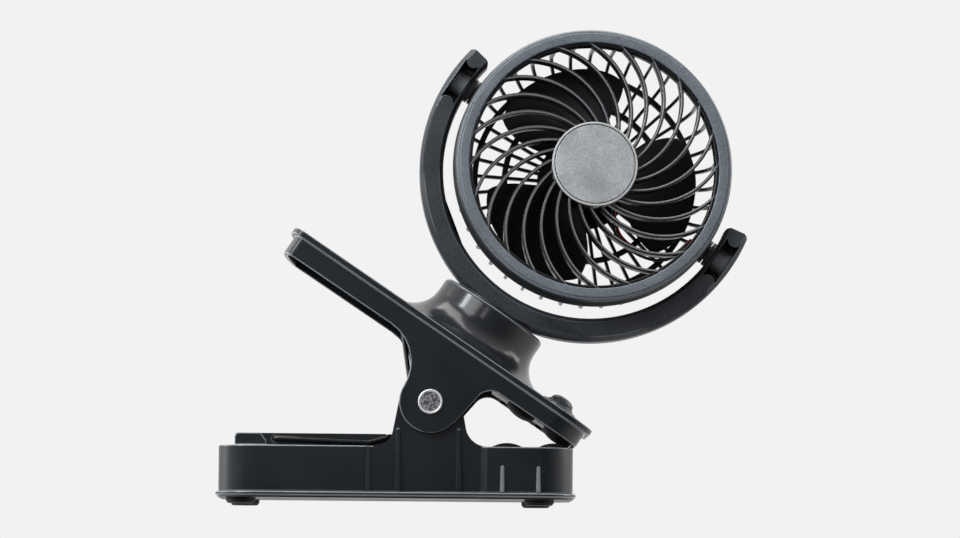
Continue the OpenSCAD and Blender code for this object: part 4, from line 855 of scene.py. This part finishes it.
# ---------------------------------------------------------------- propeller
def blade():
    """A climbing sheet with round corners, thinner towards its edges and its tip."""
    nr, na = 16, 32
    hub, rise, thick, half_angle = 16, 13, 1.6, 42

    def at(i, j, side):
        f, g = i / nr, 2 * j / na - 1
        g = g * (1 - 0.035 * (1 - g * g))
        r = hub - 0.8 + (PROP_R - hub + 0.8) * f * (1 - 0.1 * g ** 4)
        half = (half_angle * (0.75 + 0.25 * sin(radians(90) * min(1, f * 1.4)))
                * (1 - 0.10 * f ** 6))
        a = radians(g * half - 6 * f)
        t = thick / 2 * (1 - 0.75 * g ** 4) * (1 - 0.6 * f ** 12)
        return (r * cos(a), r * sin(a), -rise / 2 * g * (1 - 0.25 * f) + side * t)

    bm = bmesh.new()
    grid = {s: [[bm.verts.new(at(i, j, s)) for j in range(na + 1)] for i in range(nr + 1)]
            for s in (1, -1)}
    for g in grid.values():
        for i in range(nr):
            for j in range(na):
                bm.faces.new((g[i][j], g[i + 1][j], g[i + 1][j + 1], g[i][j + 1]))
    rim = ([(0, j) for j in range(na)] + [(i, na) for i in range(nr)]
           + [(nr, j) for j in range(na, 0, -1)] + [(i, 0) for i in range(nr, 0, -1)])
    for (i, j), (k, m) in zip(rim, rim[1:] + rim[:1]):
        bm.faces.new((grid[1][i][j], grid[1][k][m], grid[-1][k][m], grid[-1][i][j]))
    bmesh.ops.recalc_face_normals(bm, faces=bm.faces)
    return bm


parts = [(place(blade(), Matrix.Translation((0, 0, PROP_Z)), rot_z(27.5 + 360 / BLADES * k)),
          BLADE) for k in range(BLADES)]
cup = [(0, -5.4), (13.5, -5.4), (13.7, -5.7), (13.7, -16.2), (15.6, -16.2), (16, -15.8),
       (16, -4.6), (15.2, -3.6), (13.8, -3.2), (3, -3.2), (2.6, -2.9), (1.2, -2.9), (1.2, -3.2),
       (0, -3.2)]
parts.append((lathe(cup, 80), BLADE))
piece("propeller_moulded", parts, HEAD, "rotor", "blade_plastic", "propeller", sharp=45)

# ---------------------------------------------------------------- the CAD pieces that stay
for node, mat in {
    "cover_screws": STEEL, "battery_cells": CELL, "battery_cradle": INNER, "control_board": BOARD,
    "port_board": BOARD, "charging_port": STEEL, "jaw_screws": SCREW, "switch_board": BOARD,
    "swivel_disc": INNER, "swivel_retainer": SPRING, "yoke_screws": STEEL, "pivot_pins": BARREL,
    "fan_motor": CAN, "motor_screws": STEEL, "motor_shaft": STEEL,
}.items():
    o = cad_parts[node]
    if not o.material_slots:
        o.data.materials.append(mat)
    for s in o.material_slots:
        s.material = mat
